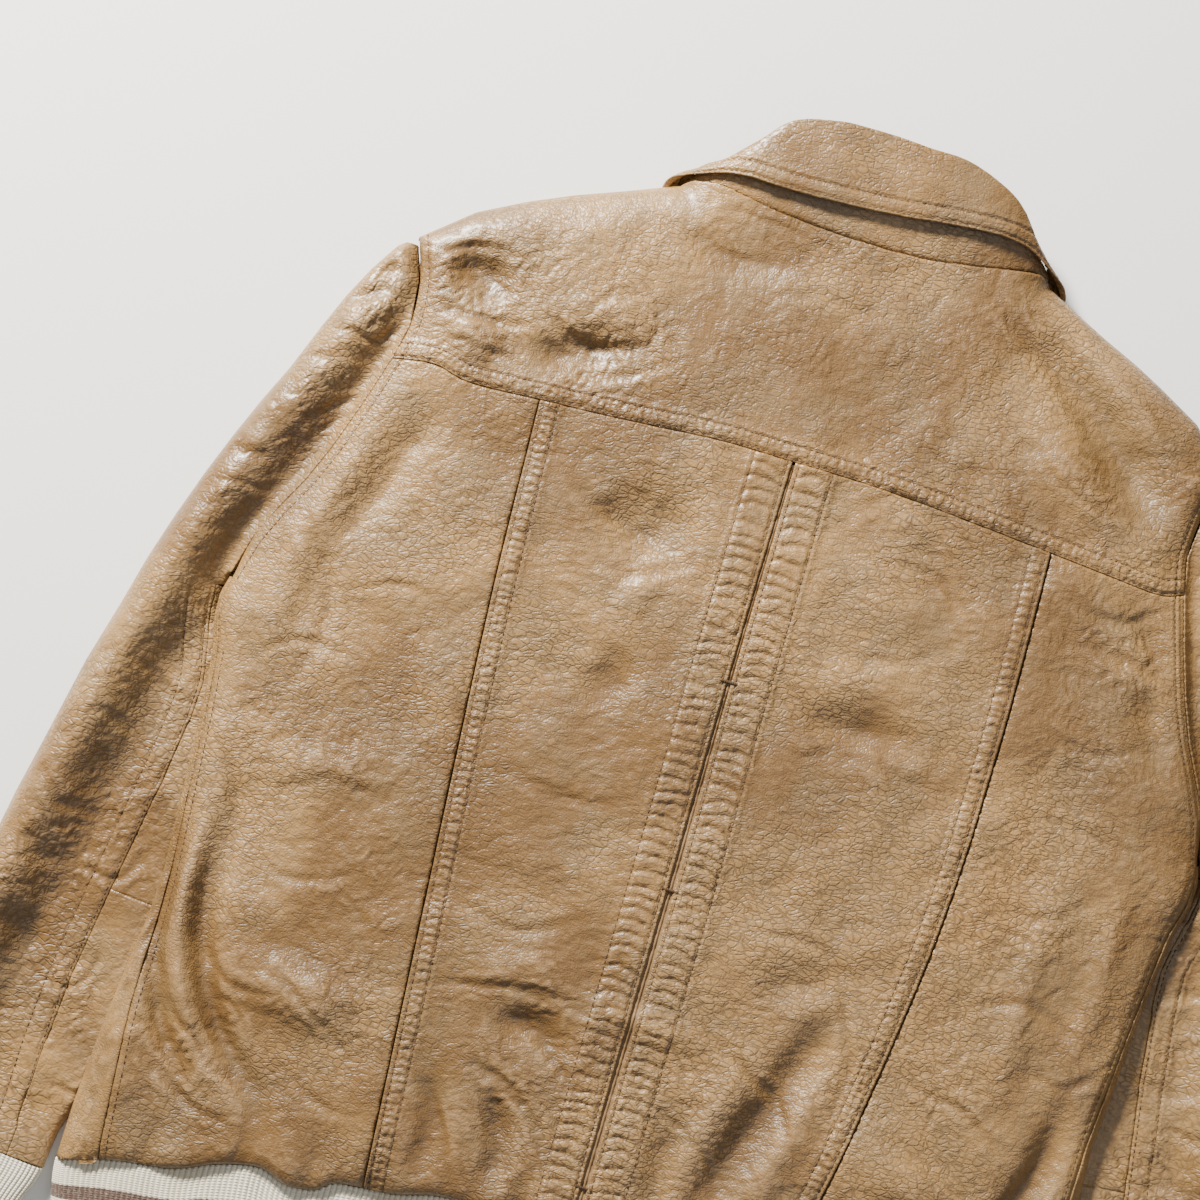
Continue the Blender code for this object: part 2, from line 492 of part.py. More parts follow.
def make_front(side, finish):
    """One front, which also wraps round the side to the seam that shows on the back."""
    overlap = -side * (PLACKET_HALF - 1)
    layer = 0 if side < 0 else 1
    stations = COLLAR[:LEFT_SHOULDER_STATION] if side < 0 else COLLAR[:RIGHT_SHOULDER_STATION:-1]
    neck = [station[0][:2] for station in stations]
    shoulder = [point[:2] for point in SHOULDER[side]]
    neck = [(x + side * 0.3, y - 0.5) for x, y in neck]
    top = Path([(overlap, neck[0][1] - 0.4)] + neck + shoulder, straight=True)
    outer = Path([point[:2] for point in ARMHOLE[side]] + [point[:2] for point in SIDE[side][1:]],
                 straight=True)
    hem_x = [overlap] + [side * x for x in (120, 215, 276)]
    hem = Path([(x, FRONT_HEM_PATH.height_at(x)) for x in hem_x], straight=True)
    inner = Path([(overlap, neck[0][1] - 0.4), (overlap, FRONT_HEM_PATH.height_at(overlap))])
    levels = np.array(ARM_LEVELS + SIDE_LEVELS, dtype=float)
    shares = np.interp(-levels, -outer.dense[:, 1], outer.share)
    down = np.concatenate([[0.0, 0.02], shares, [0.9975]])
    neck_shares = [np.interp(side * x, side * top.dense[:, 0], top.share) for x, _ in neck[1:]]
    hem_shares = [np.interp(side * x, side * hem.dense[:, 0], hem.share) for x in hem_x[1:-1]]
    shoulder_share = np.interp(side * shoulder[0][0], side * top.dense[:, 0], top.share)
    across = np.sort(np.concatenate([[0, 0.03, 0.06, 0.101], neck_shares, hem_shares,
                                     [shoulder_share, 0.66, 0.965, 1]]))
    plan = patch(top, hem, inner, outer, across, down)
    for column, offset in enumerate(PLACKET_COLUMNS):
        x = overlap + side * offset
        plan[0, column, 1] = np.interp(side * x, side * top.dense[:, 0], top.dense[:, 1])
        plan[:, column, 0] = x
    height = placket_height(plan[..., 0], plan[..., 1], layer)
    seam_height = [station[0][2] for station in stations]
    on_neck = (side * plan[0, :, 0] < side * neck[-1][0]) & (abs(plan[0, :, 0]) > PLACKET_HALF + 6)
    seam_height = np.interp(side * plan[0, on_neck, 0], [side * x for x, _ in neck], seam_height)
    height[0, on_neck] = np.minimum(seam_height, height[0, on_neck] + 1)
    bottom = raised(plan, height)
    seam = Path(list(SIDE_SEAM[side][:-1])
                + [(SIDE_SEAM[side][-1][0], HEM_PATH.height_at(SIDE_SEAM[side][-1][0]))], straight=True)
    first = int(np.searchsorted(down, shares[len(ARM_LEVELS) - 1] - 1e-6))
    wrap = np.zeros((len(down), len(WRAP_SHARES), 3))
    for row in range(first, len(down)):
        edge = bottom[row, -1]
        along = np.interp(-edge[1], -seam.dense[:, 1], seam.dense[:, 0]) + side * SIDE_GAP
        for place, share in enumerate(WRAP_SHARES):
            x = edge[0] + (along - edge[0]) * share
            y = max(edge[1], HEM_PATH.height_at(x) + 2 * SEAM_GAP)
            wrap[row, place] = (x, y, back_height(np.array(x), np.array(y)))
    points = np.concatenate([bottom, wrap], axis=1)
    last = bottom.shape[1] - 1
    name = "front_left" if side < 0 else "front_right"

    def above_side_seam(row, column):
        return column >= last and row < first

    shell(name, points, finish, (8, 5, (0, 0, -1)), skip=above_side_seam)


def across_rows(line, levels):
    """The x of a sleeve line at each level down the arm."""
    dense = Path(line, straight=True).dense
    return np.interp(-levels, -dense[:, 1], dense[:, 0])


def sleeve_heights(x, y, down):
    """Heights of the left sleeve's upper and lower faces above the floor."""
    arm = Path([(place[0] - SIDE_GAP,) + place[1:] for place in ARMHOLE_LEFT], straight=True).dense
    from_outer, _ = nearest([np.array(SLEEVE_OUTER, dtype=float)], x, y)
    from_inner, _ = nearest([np.array(SLEEVE_INNER, dtype=float)], x, y)
    from_arm, carried = nearest([arm], x, y)
    crest = CREST - 5 * smooth((down - 0.7) / 0.3)
    top = SLEEVE_EDGE + (crest - SLEEVE_EDGE) * half_round(from_outer / CREST_INSET)
    top = top - (crest - SLEEVE_FLAT) * smooth((from_outer - CREST_INSET) / SLOPE_WIDTH)
    top = top + fold_relief(SLEEVE_FOLDS, x, y) * smooth(from_outer / 8)
    top = carried[..., 0] - SEAM_GAP + (top - carried[..., 0]) * (1 - (1 - np.clip(from_arm / 15, 0, 1)) ** 2)
    body_edge = EDGES[2]
    inside, _ = nearest([body_edge], x, y)
    under = (y < UNDERARM_LEVEL) & (x > np.interp(-y, -body_edge[:, 1], body_edge[:, 0]))
    room = np.where(under, front_height(x, y) - TUCK_CLEARANCE, BELOW_SIDE + BELOW_SIDE_RISE * inside)
    top = np.where(y < UNDERARM_LEVEL, np.minimum(top, room), top)
    from_underarm = np.hypot(x - ARMHOLE_LEFT[-1][0], y - ARMHOLE_LEFT[-1][1])
    tip = SLEEVE_TIP + (9.5 - SLEEVE_TIP) * (1 - smooth(from_underarm / 22))
    closed = smooth((UNDERARM_LEVEL - y) / 3)
    top = top + (tip - top) * closed * (1 - half_round(from_inner / 6))
    base = SLEEVE_EDGE * (1 - half_round(from_outer / SLEEVE_EDGE))
    base = base + tip * closed * (1 - half_round(from_inner / 4.5))
    near_arm = (1 - np.clip(from_arm / 14, 0, 1)) ** 2
    base = base + np.maximum(carried[..., 1] - SEAM_GAP - base, 0) * near_arm * (1 - closed)
    return top, base


def sleeve_surface(shares, down, lower):
    """Rows of points across the left sleeve, from its outer edge; shares has one row for each level."""
    outer_level = SLEEVE_TOP - down * OUTER_LENGTH
    inner_level = SLEEVE_TOP - down * INNER_LENGTH
    right_line = [place[:2] for place in ARMHOLE_LEFT[:-1]] + list(SLEEVE_INNER)
    left_x = across_rows(SLEEVE_OUTER, outer_level)[:, None]
    right_x = across_rows(right_line, inner_level)[:, None] - SIDE_GAP * (inner_level > -146)[:, None]
    x = left_x + (right_x - left_x) * shares
    y = outer_level[:, None] + (inner_level - outer_level)[:, None] * shares
    top, base = sleeve_heights(x, y, down[:, None])
    oval = np.sqrt(np.maximum(1 - abs(2 * shares - 1) ** 3, 0))
    end = smooth((down[:, None] - 0.94) / 0.06)
    middle = CUFF_LIE / 2
    height = top + (middle + middle * oval - top) * end
    if lower:
        height = base + (middle - middle * oval - base) * end
    return raised(np.stack([x, y], axis=-1), height)


def seam_share(line, down):
    """Where a sleeve seam lies between the outer and the inner edge, at each level."""
    level = SLEEVE_TOP - down * SEAM_LENGTH
    outer, inner = across_rows(SLEEVE_OUTER, level), across_rows(SLEEVE_INNER, level)
    return np.clip((across_rows(line, level) - outer) / (inner - outer), 0.5, 0.985)


def make_sleeve(side, finish):
    """The upper and the pieced under sleeve of one arm, cut along the back and front arm seams."""
    word = "left" if side < 0 else "right"
    fine = side < 0
    turned = np.array([-side, 1, 1])
    underarm = (SLEEVE_TOP - UNDERARM_LEVEL) / INNER_LENGTH
    arm_rows = (SLEEVE_TOP - np.array(ARM_LEVELS)) / INNER_LENGTH
    down = np.concatenate([[0.009, 0.024], arm_rows,
                           [underarm + 0.012], np.linspace(underarm + 0.04, 0.93, 12 if fine else 8),
                           [0.955, 0.98, 1.0]])
    open_rows = down <= underarm + 1e-6
    joined = ~open_rows & (down < underarm + 0.013)
    back, front = seam_share(SLEEVE_BACK_SEAM, down), seam_share(SLEEVE_FRONT_SEAM, down)
    gap = SIDE_GAP / 100 + 0.004 * np.exp(-np.maximum(down - underarm, 0) / 0.04)
    back_end = np.where(open_rows, 1.0, np.where(joined, 0.985, back - gap))[:, None]
    front_end = np.where(open_rows, 1.0, np.where(joined, 0.985, front - gap))[:, None]
    steps = [0, 0.012, 0.06, 0.13, 0.21, 0.3, 0.4, 0.5, 0.62, 0.75, 0.88, 0.975, 1]
    if not fine:
        steps = [0, 0.012, 0.07, 0.18, 0.3, 0.44, 0.6, 0.8, 0.97, 1]
    low_steps = [0.012, 0.06, 0.2, 0.45, 0.75, 0.97, 1]
    over = sleeve_surface(back_end * np.array(steps)[::-1], down, False)
    below = sleeve_surface(front_end * np.array(low_steps), down, True)
    shell("sleeve_top_" + word, np.concatenate([over, below], axis=1) * turned, finish,
          (10, 5, (0, 0, 1)))
    inner_rows = np.flatnonzero(~open_rows & ~joined)
    levels = down[inner_rows]
    start, finish_share = back[inner_rows, None], front[inner_rows, None]
    top_shares = start + (1 - start) * np.array([0, 0.1, 0.4, 0.7, 0.9, 1])
    low_shares = 1 + (finish_share - 1) * np.array([0.12, 0.4, 0.9, 1])
    under = np.concatenate([sleeve_surface(top_shares, levels, False),
                            sleeve_surface(low_shares, levels, True)], axis=1) * turned
    level = (SLEEVE_TOP - PIECING_BREAK[1]) / SEAM_LENGTH
    split = int(np.argmin(abs(levels - level)))
    for part, rows in (("upper", slice(0, split + 1)), ("lower", slice(split, None))):
        piece = under[rows].copy()
        if part == "upper":
            piece[-1] += (piece[-2] - piece[-1]) * 0.006
        else:
            piece[0] += (piece[1] - piece[0]) * 0.006
        shell("sleeve_under_" + part + "_" + word, piece, finish, (2, 1, (0, 0, 1)))


def make_cuff(side, finish):
    """A rib-knit tube at the wrist, drawn in a little towards the hand."""
    start = np.array([SLEEVE_OUTER[-1], SLEEVE_INNER[-1]], dtype=float)
    run = np.array([CUFF_SHIFT, -CUFF_DEPTH])
    middle = start.mean(axis=0)
    half = (start[1] - start[0]) / 2
    rows = []
    for share in (0.01, 0.3, 1.0):
        centre = middle + run * share
        width = 1 - CUFF_DRAWN_IN * smooth(share / 0.5)
        ring = []
        for turn in np.linspace(0, 2 * math.pi, CUFF_POINTS, endpoint=False):
            swing = math.copysign(abs(math.cos(turn)) ** 0.8, math.cos(turn))
            lift = math.copysign(abs(math.sin(turn)) ** 0.62, math.sin(turn))
            place = centre + half * width * swing
            ring.append((place[0], place[1], CUFF_LIE / 2 * (1 + lift)))
        rows.append(ring)
    points = np.array(rows) * (-side, 1, 1)
    word = "left" if side < 0 else "right"
    shell("cuff_" + word, points, finish, (1, 6, (0, 0, 1)), wall=RIB_WALL - 0.4, closed=True)


def make_hem_rib(finish):
    """One strip of rib knit that runs from the placket round the back and to the placket again."""
    drop = np.array([0.35, 28, RIB_DEPTH])
    stations = [(x, 0) for x in (-2, -40, -80, -120, -168, -215, -234, -252)]
    turn = [(-HEM_HALF - HEM_TURN * math.sin(a), 1 - math.cos(a))
            for a in np.linspace(0.5, math.pi - 0.5, 5)]
    back = [(x, 2) for x in np.linspace(-HEM_HALF + 10, HEM_HALF - 10, 34)]
    ring = stations + turn + back + [(-x, 2 - z) for x, z in turn] + [(-x, 0) for x, _ in stations[::-1]]
    points = np.zeros((len(drop), len(ring), 3))
    for row, depth in enumerate(drop):
        share = depth / RIB_DEPTH
        narrow = 1 - RIB_NARROWED * smooth(share)
        for column, (x, level) in enumerate(ring):
            hem = FRONT_HEM_PATH.height_at(x) * (1 - level / 2) + HEM_PATH.height_at(x) * level / 2
            end = RIB_END_LEVEL - RIB_END_DROP * abs(x) / 276
            y = hem * (1 - share) + end * share
            points[row, column] = (x * narrow, y - depth, RIB_LIE / 2 * level)
    shell("hem_rib", points, finish, (1, len(ring) // 2, (0, 0, 1)), wall=RIB_WALL)


def out_of_neck(place):
    """Direction away from the inside of the neck opening, in the plane across it."""
    side = max(abs(place[0]) - 60, 0) / 40
    away = np.array([math.copysign(side**1.5, place[0]), 0, (place[2] - 13.5) / 9])
    return away / np.linalg.norm(away)


def make_collar(finish):
    """The stand on the neck seam, and the leaf folded down over it."""
    neck, fold, edge = (Path([station[line] for station in COLLAR], by="knots") for line in range(3))
    stand, leaf = [], []
    for share in np.linspace(0, 1, len(COLLAR)):
        seam, top, rim = neck.at(share), fold.at(share), edge.at(share)
        out = out_of_neck(top)
        up = (top - seam) / np.linalg.norm(top - seam)
        stand.append([seam + up * 0.4, (seam + top) / 2 + out * 0.3, top - up * 0.6])
        lip = min(1, np.linalg.norm(rim - top) / 14)
        start = 0.4 * np.exp(-(((top[2] - 11) / 6) ** 2)) - 0.2 * lip
        over = top + out * 2.8 + up * lip * 0.6
        leaf.append([top + up * (0.9 + lip) + out * start, top + up * (1.3 + 1.6 * lip) + out * 1.4,
                     over, over + (rim - over) * 0.35 + out * 0.5 * lip,
                     over + (rim - over) * 0.7 + out * 0.3 * lip, rim])
    middle = len(COLLAR) // 2
    leaf = np.array(leaf)
    leaf[..., 2] = np.maximum(leaf[..., 2], 0)
    shell("collar_stand", np.array(stand), finish, (middle, 1, (0, 0, 1)))
    shell("collar_leaf", leaf, finish, (middle, 3, (0, 0, 1)))


def make_studs(finish):
    """Flat caps of the press studs that close the placket."""
    places = np.linspace(TOP_STUD, LOWEST_STUD, STUD_COUNT)
    for number, y in enumerate(places, start=1):
        lower_face = float(placket_height(np.array(0.0), np.array(y), 0))
        base = lower_face - STUD_ROOM
        bpy.ops.mesh.primitive_cylinder_add(
            vertices=STUD_SIDES, radius=STUD_RADIUS * METRE, depth=STUD_HEIGHT * METRE,
            location=(0, (y + CENTRE_TO_YOKE) * METRE, (base + STUD_HEIGHT / 2) * METRE))
        stud = bpy.context.object
        stud.name = f"stud_{number}"
        stud.data.materials.append(finish)
        for holder in list(stud.users_collection):
            holder.objects.unlink(stud)
        jacket.objects.link(stud)


clear_scene()
jacket = bpy.data.collections.new("leather_jacket")
bpy.context.scene.collection.children.link(jacket)
tan = material("tan_leather", (0.42, 0.27, 0.15), 0.42)
brown = material("brown_underlay", (0.16, 0.09, 0.05), 0.5)
knit = material("rib_knit", (0.72, 0.68, 0.60), 0.9)
brass = material("old_brass", (0.45, 0.34, 0.18), 0.35, 1.0)
make_yoke(tan)
for half in (-1, 1):
    make_back_centre(half, tan)
    make_back_side(half, tan)
    make_front(half, tan)
    make_sleeve(half, tan)
    make_cuff(half, knit)
make_centre_strip(brown)
make_collar(tan)
make_hem_rib(knit)
make_studs(brass)
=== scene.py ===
"""Looks of a worn tan leather blouson jacket that lies face down.

Lengths are millimetres until a mesh is made, in the jacket's own plan: X to the right as the back is
seen, Y towards the collar from the yoke seam on the centre back, and Z up from the floor.
"""
import math

import bpy
import numpy as np
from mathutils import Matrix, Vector
from mathutils.bvhtree import BVHTree


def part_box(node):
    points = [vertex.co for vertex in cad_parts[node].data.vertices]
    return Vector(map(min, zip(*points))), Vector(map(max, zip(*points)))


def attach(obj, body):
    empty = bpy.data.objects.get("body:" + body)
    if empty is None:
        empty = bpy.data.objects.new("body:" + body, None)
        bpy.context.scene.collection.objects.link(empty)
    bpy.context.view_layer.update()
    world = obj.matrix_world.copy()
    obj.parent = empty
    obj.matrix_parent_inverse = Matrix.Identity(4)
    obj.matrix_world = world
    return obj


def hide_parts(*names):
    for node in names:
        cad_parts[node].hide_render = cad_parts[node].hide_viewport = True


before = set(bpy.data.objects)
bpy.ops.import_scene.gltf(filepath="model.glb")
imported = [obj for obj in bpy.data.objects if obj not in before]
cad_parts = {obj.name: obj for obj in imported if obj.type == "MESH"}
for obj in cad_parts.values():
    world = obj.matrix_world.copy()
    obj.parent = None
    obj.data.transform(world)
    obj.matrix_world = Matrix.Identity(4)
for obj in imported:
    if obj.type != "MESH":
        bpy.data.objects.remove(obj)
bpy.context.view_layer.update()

MM = 0.001
YOKE_SEAM_IN_FRAME = 181.5


# Back yoke. One piece of soft tan hide from shoulder to shoulder. Its lower edge is turned under and
# lapped over the panels below, with two rows of stitching, and it is the first piece of the back shell.
SHOULDER_LEFT = ((-101, 128, 10, 8.6, 0.5), (-128, 117, 10, 8.6, 0.5), (-156, 106, 10, 8.6, 0.5),
                 (-178, 96, 10, 8.6, 0.5), (-204, 82, 10, 8.6, 0.5), (-230, 60, 10.4, 8.6, 0.5))
SHOULDER_RIGHT = ((108, 132, 10, 8.6, 0.5), (126, 123, 10, 8.6, 0.5), (144, 114.5, 10, 8.6, 0.5),
                  (166, 105, 10, 8.6, 0.5), (182, 97, 10, 8.6, 0.5), (206, 84, 10, 8.6, 0.5),
                  (230, 60, 10.4, 8.6, 0.5))
ARMHOLE_LEFT = ((-230, 60, 11.6, 8.2, 0.6), (-222, 36, 17, 6.5, 0.9), (-220, 12, 20, 6, 1),
                (-224, -8, 21, 6, 1), (-232, -35, 21, 6, 1), (-241, -62, 20.5, 6, 1),
                (-250, -84, 19.5, 6.5, 1), (-260, -103, 18.5, 7.5, 1), (-269, -123, 17.5, 9, 0.9),
                (-275, -145, 15, 10.5, 0.7))
SIDE_LEFT = ((-275, -145, 13.5, 13.5, 0.5), (-278, -157, 13.5, 13.5, 0.5), (-277.5, -170, 13.5, 13.5, 0.5),
             (-273, -188, 13.5, 13.5, 0.5), (-270, -215, 13.5, 13.5, 0.5), (-268, -245, 13.5, 13.5, 0.5),
             (-266, -280, 13.5, 13.5, 0.5), (-264, -310, 13.5, 13.5, 0.5), (-265, -335, 13.5, 13.5, 0.5),
             (-268, -360, 13.5, 13.5, 0.5), (-272, -402, 13.5, 13.5, 0.5), (-275, -445, 12, 12, 0.5),
             (-276, -478, 9.6, 8.6, 0.5))
HEM = ((-276, -478), (-244, -469), (-212, -464), (-190, -455), (-168, -450), (-151, -455),
       (-135, -453), (-124, -446), (-94, -443), (-70, -437), (-40, -436), (0, -433), (35, -437),
       (62, -434.5), (95, -441), (121, -446.5), (150, -449), (170, -455), (192, -457), (215, -462),
       (246, -469.5), (276, -478))
YOKE_SEAM = ((-224, -8), (-201, -5), (-180, -9), (-140, -7), (-92, -4), (-40, 0), (0, 0), (40, 0),
             (80, -2), (146, -7), (181, -10), (210, -12), (224, -8))
NECK_BACK = ((-101, 128), (-95, 131), (-83, 132.5), (-66, 130), (-50, 127.3), (-30, 125.6), (-6, 124.3),
             (18, 124.2), (38, 125.2), (58, 128), (74, 131.3), (90, 134.5), (101, 135.5), (108, 132))
YOKE_BAND = 9.0
YOKE_ROWS = (1.4, 8.8)
YOKE_REACH = ((-60, 229.8), (-36, 221.8), (-12, 219.8), (8, 223.8))
HEM_RIM = 19.1

# The folds in which the back lies, as height, width and line
BACK_FOLDS = (
    (-6.5, 13, ((-212, 57), (-188, 50), (-168, 49))), (4, 11, ((-198, 31), (-186, 16), (-168, 8))),
    (-5, 9, ((-158, 17), (-132, 22), (-102, 33))), (2.5, 10, ((-150, 42), (-118, 47), (-90, 50))),
    (-7, 15, ((96, 108), (138, 84), (172, 50), (212, 14))), (2.5, 12, ((120, 112), (160, 88), (200, 50))),
    (2.5, 14, ((120, 62), (150, 34), (188, 8))), (-1.6, 8, ((-110, 104), (-60, 96), (-20, 104))),
    (-1.8, 22, ((20, 60), (70, 45))), (-5.5, 19, ((-92, -36), (-66, -56), (-44, -34))),
    (2.2, 16, ((-72, -86), (-48, -98))), (-3.2, 15, ((-76, -134), (-46, -150))),
    (-2.8, 9, ((-186, -16), (-204, -60), (-222, -120))),
    (2.2, 10, ((-222, -20), (-229, -64), (-240, -110), (-247, -220))),
    (4.5, 34, ((-176, -330), (-182, -372))), (2, 30, ((-196, -215), (-190, -245))),
    (-5.5, 6.5, ((-259, -262), (-259, -318), (-254, -358), (-240, -391), (-224, -414), (-214, -446))),
    (-6, 8.5, ((-238, -262), (-238, -312), (-228, -352), (-207, -388), (-180, -414), (-167, -446))),
    (3.5, 7, ((-249, -262), (-249, -318), (-240, -355), (-222, -388), (-200, -414))),
    (2.5, 10, ((-262, -372), (-258, -420), (-250, -452))),
    (-4.5, 10, ((-74, -338), (-44, -334), (-24, -350))), (2.6, 10, ((-96, -318), (-62, -304), (-30, -300))),
    (-3.5, 8, ((-98, -364), (-84, -402), (-88, -436))), (-4, 8, ((-62, -366), (-46, -404), (-52, -432))),
    (2, 8, ((-40, -312), (0, -314), (62, -318))), (-3.6, 10, ((36, -130), (80, -130), (122, -126))),
    (1.8, 12, ((40, -106), (110, -102))),
    (-5, 11, ((118, -262), (99, -304), (86, -344), (70, -392), (64, -430))),
    (-3, 10, ((58, -282), (88, -268), (112, -258))), (2.4, 11, ((64, -318), (60, -352), (48, -396))),
    (2.4, 9, ((116, -306), (104, -350), (90, -410))), (-3, 8, ((44, -352), (40, -392), (46, -430))),
    (2.2, 9, ((204, -170), (202, -240), (206, -310))), (2, 8, ((238, -150), (240, -230), (236, -300))),
    (-2.6, 9, ((216, -52), (230, -86), (246, -116))), (-3, 7, ((200, -22), (216, -40), (232, -58))),
    (-5.5, 9, ((240, -270), (240, -318), (230, -356), (210, -392), (180, -418), (166, -446))),
    (-5, 7, ((262, -336), (250, -372), (228, -404))), (4, 32, ((184, -340), (176, -376))),
)
HEM_GATHERS = (-228, -178, -140, -104, -28, 22, 78, 106, 138, 186, 232)

# Smaller creases of the back, as depth, width and line
BACK_CREASES = (
    (1.6, 4, ((-220, 47), (-201, 62), (-167, 63))), (1.8, 4, ((-213, 28), (-185, 26), (-152, 29))),
    (1.2, 3.5, ((-200, 12), (-175, 12), (-150, 6))), (2.0, 5, ((-153, 35), (-123, 29), (-92, 36))),
    (1.5, 4, ((-135, 10), (-108, 14), (-84, 29))), (0.8, 4, ((-128, 36), (-125, 54), (-101, 67))),
    (0.8, 3, ((-88, 119), (-49, 121), (-2, 113))), (0.6, 3, ((-89, 102), (-53, 97), (-27, 105))),
    (0.8, 4, ((-44, 84), (-6, 90), (35, 85))), (1.2, 6, ((77, 115), (119, 88), (157, 54))),
    (0.9, 5, ((139, 113), (169, 90), (196, 66))), (0.7, 5, ((52, 28), (88, 22), (131, 29))),
    (1.0, 4, ((114, 47), (155, 25), (189, 24))), (1.2, 7, ((-120, -40), (-81, -57), (-38, -67))),
    (0.9, 5, ((-93, -83), (-62, -82), (-33, -65))), (0.7, 6, ((-103, -132), (-71, -127), (-34, -139))),
    (0.8, 6, ((-106, -200), (-68, -211), (-27, -199))),
    (1.0, 5, ((-110, -280), (-69, -285), (-29, -267))),
    (1.5, 5, ((-102, -326), (-60, -316), (-20, -316))), (1.8, 5, ((-75, -360), (-42, -373), (-22, -395))),
    (1.5, 5, ((-97, -378), (-79, -401), (-70, -421))), (1.2, 4, ((-55, -332), (-28, -346), (-3, -373))),
    (1.0, 5, ((33, -23), (61, -3), (117, -20))), (0.9, 4, ((50, -40), (89, -37), (130, -62))),
    (0.7, 5, ((31, -91), (71, -91), (111, -76))), (0.8, 6, ((40, -156), (81, -144), (129, -152))),
    (1.0, 5, ((45, -251), (90, -249), (123, -267))), (1.6, 5, ((40, -309), (79, -325), (112, -361))),
    (1.2, 5, ((102, -251), (119, -291), (127, -334))), (1.3, 4, ((32, -356), (59, -371), (75, -389))),
    (1.2, 6, ((-248, -101), (-219, -143), (-224, -201))),
    (0.9, 4, ((-212, -136), (-185, -125), (-156, -125))),
    (0.9, 4, ((-252, -182), (-228, -169), (-194, -170))),
    (1.2, 6, ((-260, -223), (-237, -262), (-229, -305))),
    (0.8, 5, ((-220, -251), (-191, -237), (-156, -238))),
    (0.9, 4, ((-221, -285), (-191, -293), (-161, -279))),
    (1.5, 5, ((-240, -336), (-211, -356), (-177, -357))),
    (2.0, 5, ((-251, -356), (-227, -389), (-189, -411))),
    (1.6, 4, ((-249, -401), (-219, -426), (-183, -432))),
    (1.2, 4, ((-199, -341), (-165, -359), (-137, -379))),
    (1.0, 4, ((-165, -398), (-139, -408), (-117, -407))), (1.2, 5, ((158, -25), (189, -33), (218, -18))),
    (1.6, 6, ((178, -53), (205, -50), (240, -62))), (1.0, 5, ((168, -95), (200, -108), (230, -94))),
    (1.0, 5, ((173, -150), (206, -146), (242, -152))), (0.9, 5, ((165, -198), (204, -197), (232, -178))),
    (1.2, 5, ((170, -253), (208, -247), (245, -259))), (1.5, 5, ((151, -304), (187, -310), (221, -328))),
    (1.2, 5, ((215, -280), (240, -283), (258, -265))),
)

# Places where the back is finely wrinkled, as centre, reach, height, size and turn of the wrinkles
BACK_WRINKLES = (
    (-193, 34, 34, 0.9, 6, 10), (-116, 23, 34, 0.9, 6, 20), (-72, 104, 30, 0.5, 4, 5),
    (-151, 63, 28, 0.6, 5, 40), (-95, 46, 24, 0.7, 5, -20), (87, 101, 34, 0.4, 6, -40),
    (166, 45, 36, 0.5, 7, -35), (-74, -78, 30, 0.6, 6, 15), (-60, -181, 34, 0.3, 7, 30),
    (64, -13, 34, 0.5, 6, 10), (108, -46, 30, 0.6, 6, 50), (92, -107, 34, 0.4, 7, 0),
    (-189, -225, 40, 0.5, 6, 60), (-236, -216, 24, 0.6, 5, 30), (-227, -304, 30, 0.6, 5, -30),
    (-228, -395, 36, 0.9, 6, -40), (-156, -351, 34, 0.6, 6, -20), (-149, -281, 34, 0.5, 6, 30),
    (-34, -325, 30, 0.7, 6, 0), (-42, -373, 30, 0.9, 6, -60), (20, -354, 30, 0.6, 5, 20),
    (66, -284, 30, 0.5, 6, -30), (49, -340, 30, 0.8, 6, -50), (166, -164, 34, 0.4, 7, 20),
    (205, -107, 34, 0.5, 6, -20), (209, -213, 34, 0.4, 6, 60), (243, -175, 28, 0.5, 6, 30),
    (180, -306, 34, 0.6, 6, -10), (129, -322, 30, 0.7, 6, 80), (205, -50, 30, 0.7, 6, -30),
    (210, -400, 36, 0.8, 6, 40), (100, -400, 34, 0.8, 6, 70),
)


def smooth(share):
    share = np.clip(share, 0, 1)
    return share * share * (3 - 2 * share)


def quarter_round(share):
    """Rises from 0 to 1 as a quarter circle does."""
    return np.sqrt(np.maximum(1 - (1 - np.clip(share, 0, 1)) ** 2, 0))


def flipped(points):
    """The same points on the other side of the centre back."""
    return tuple((-point[0],) + tuple(point[1:]) for point in points)


class Line:
    """A smooth line through given points, read by the share of its length, width or points."""

    def __init__(self, points, by="length", straight=False, parts=8):
        knots = np.array(points, dtype=float)
        ends = np.vstack([2 * knots[0] - knots[1], knots, 2 * knots[-1] - knots[-2]])
        dense = []
        for before, start, end, after in zip(ends[:-3], ends[1:-2], ends[2:-1], ends[3:]):
            for u in np.linspace(0, 1, parts, endpoint=False):
                pull_in, pull_out = (end - before) / 2, (after - start) / 2
                if straight:
                    pull_in = pull_out = end - start
                dense.append((2 * u**3 - 3 * u**2 + 1) * start + (u**3 - 2 * u**2 + u) * pull_in
                             + (3 * u**2 - 2 * u**3) * end + (u**3 - u**2) * pull_out)
        dense.append(knots[-1])
        self.dense = np.array(dense)
        steps = {"length": np.linalg.norm(np.diff(self.dense[:, :2], axis=0), axis=1),
                 "width": np.abs(np.diff(self.dense[:, 0])),
                 "points": np.ones(len(self.dense) - 1)}[by]
        self.length = steps.sum()
        self.share = np.concatenate([[0], np.cumsum(steps)]) / self.length

    def at(self, share):
        return np.stack([np.interp(share, self.share, column) for column in self.dense.T], axis=-1)

    def y_at(self, x):
        order = np.argsort(self.dense[:, 0])
        return np.interp(x, self.dense[order, 0], self.dense[order, 1])

    def x_at(self, y):
        order = np.argsort(self.dense[:, 1])
        return np.interp(y, self.dense[order, 1], self.dense[order, 0])


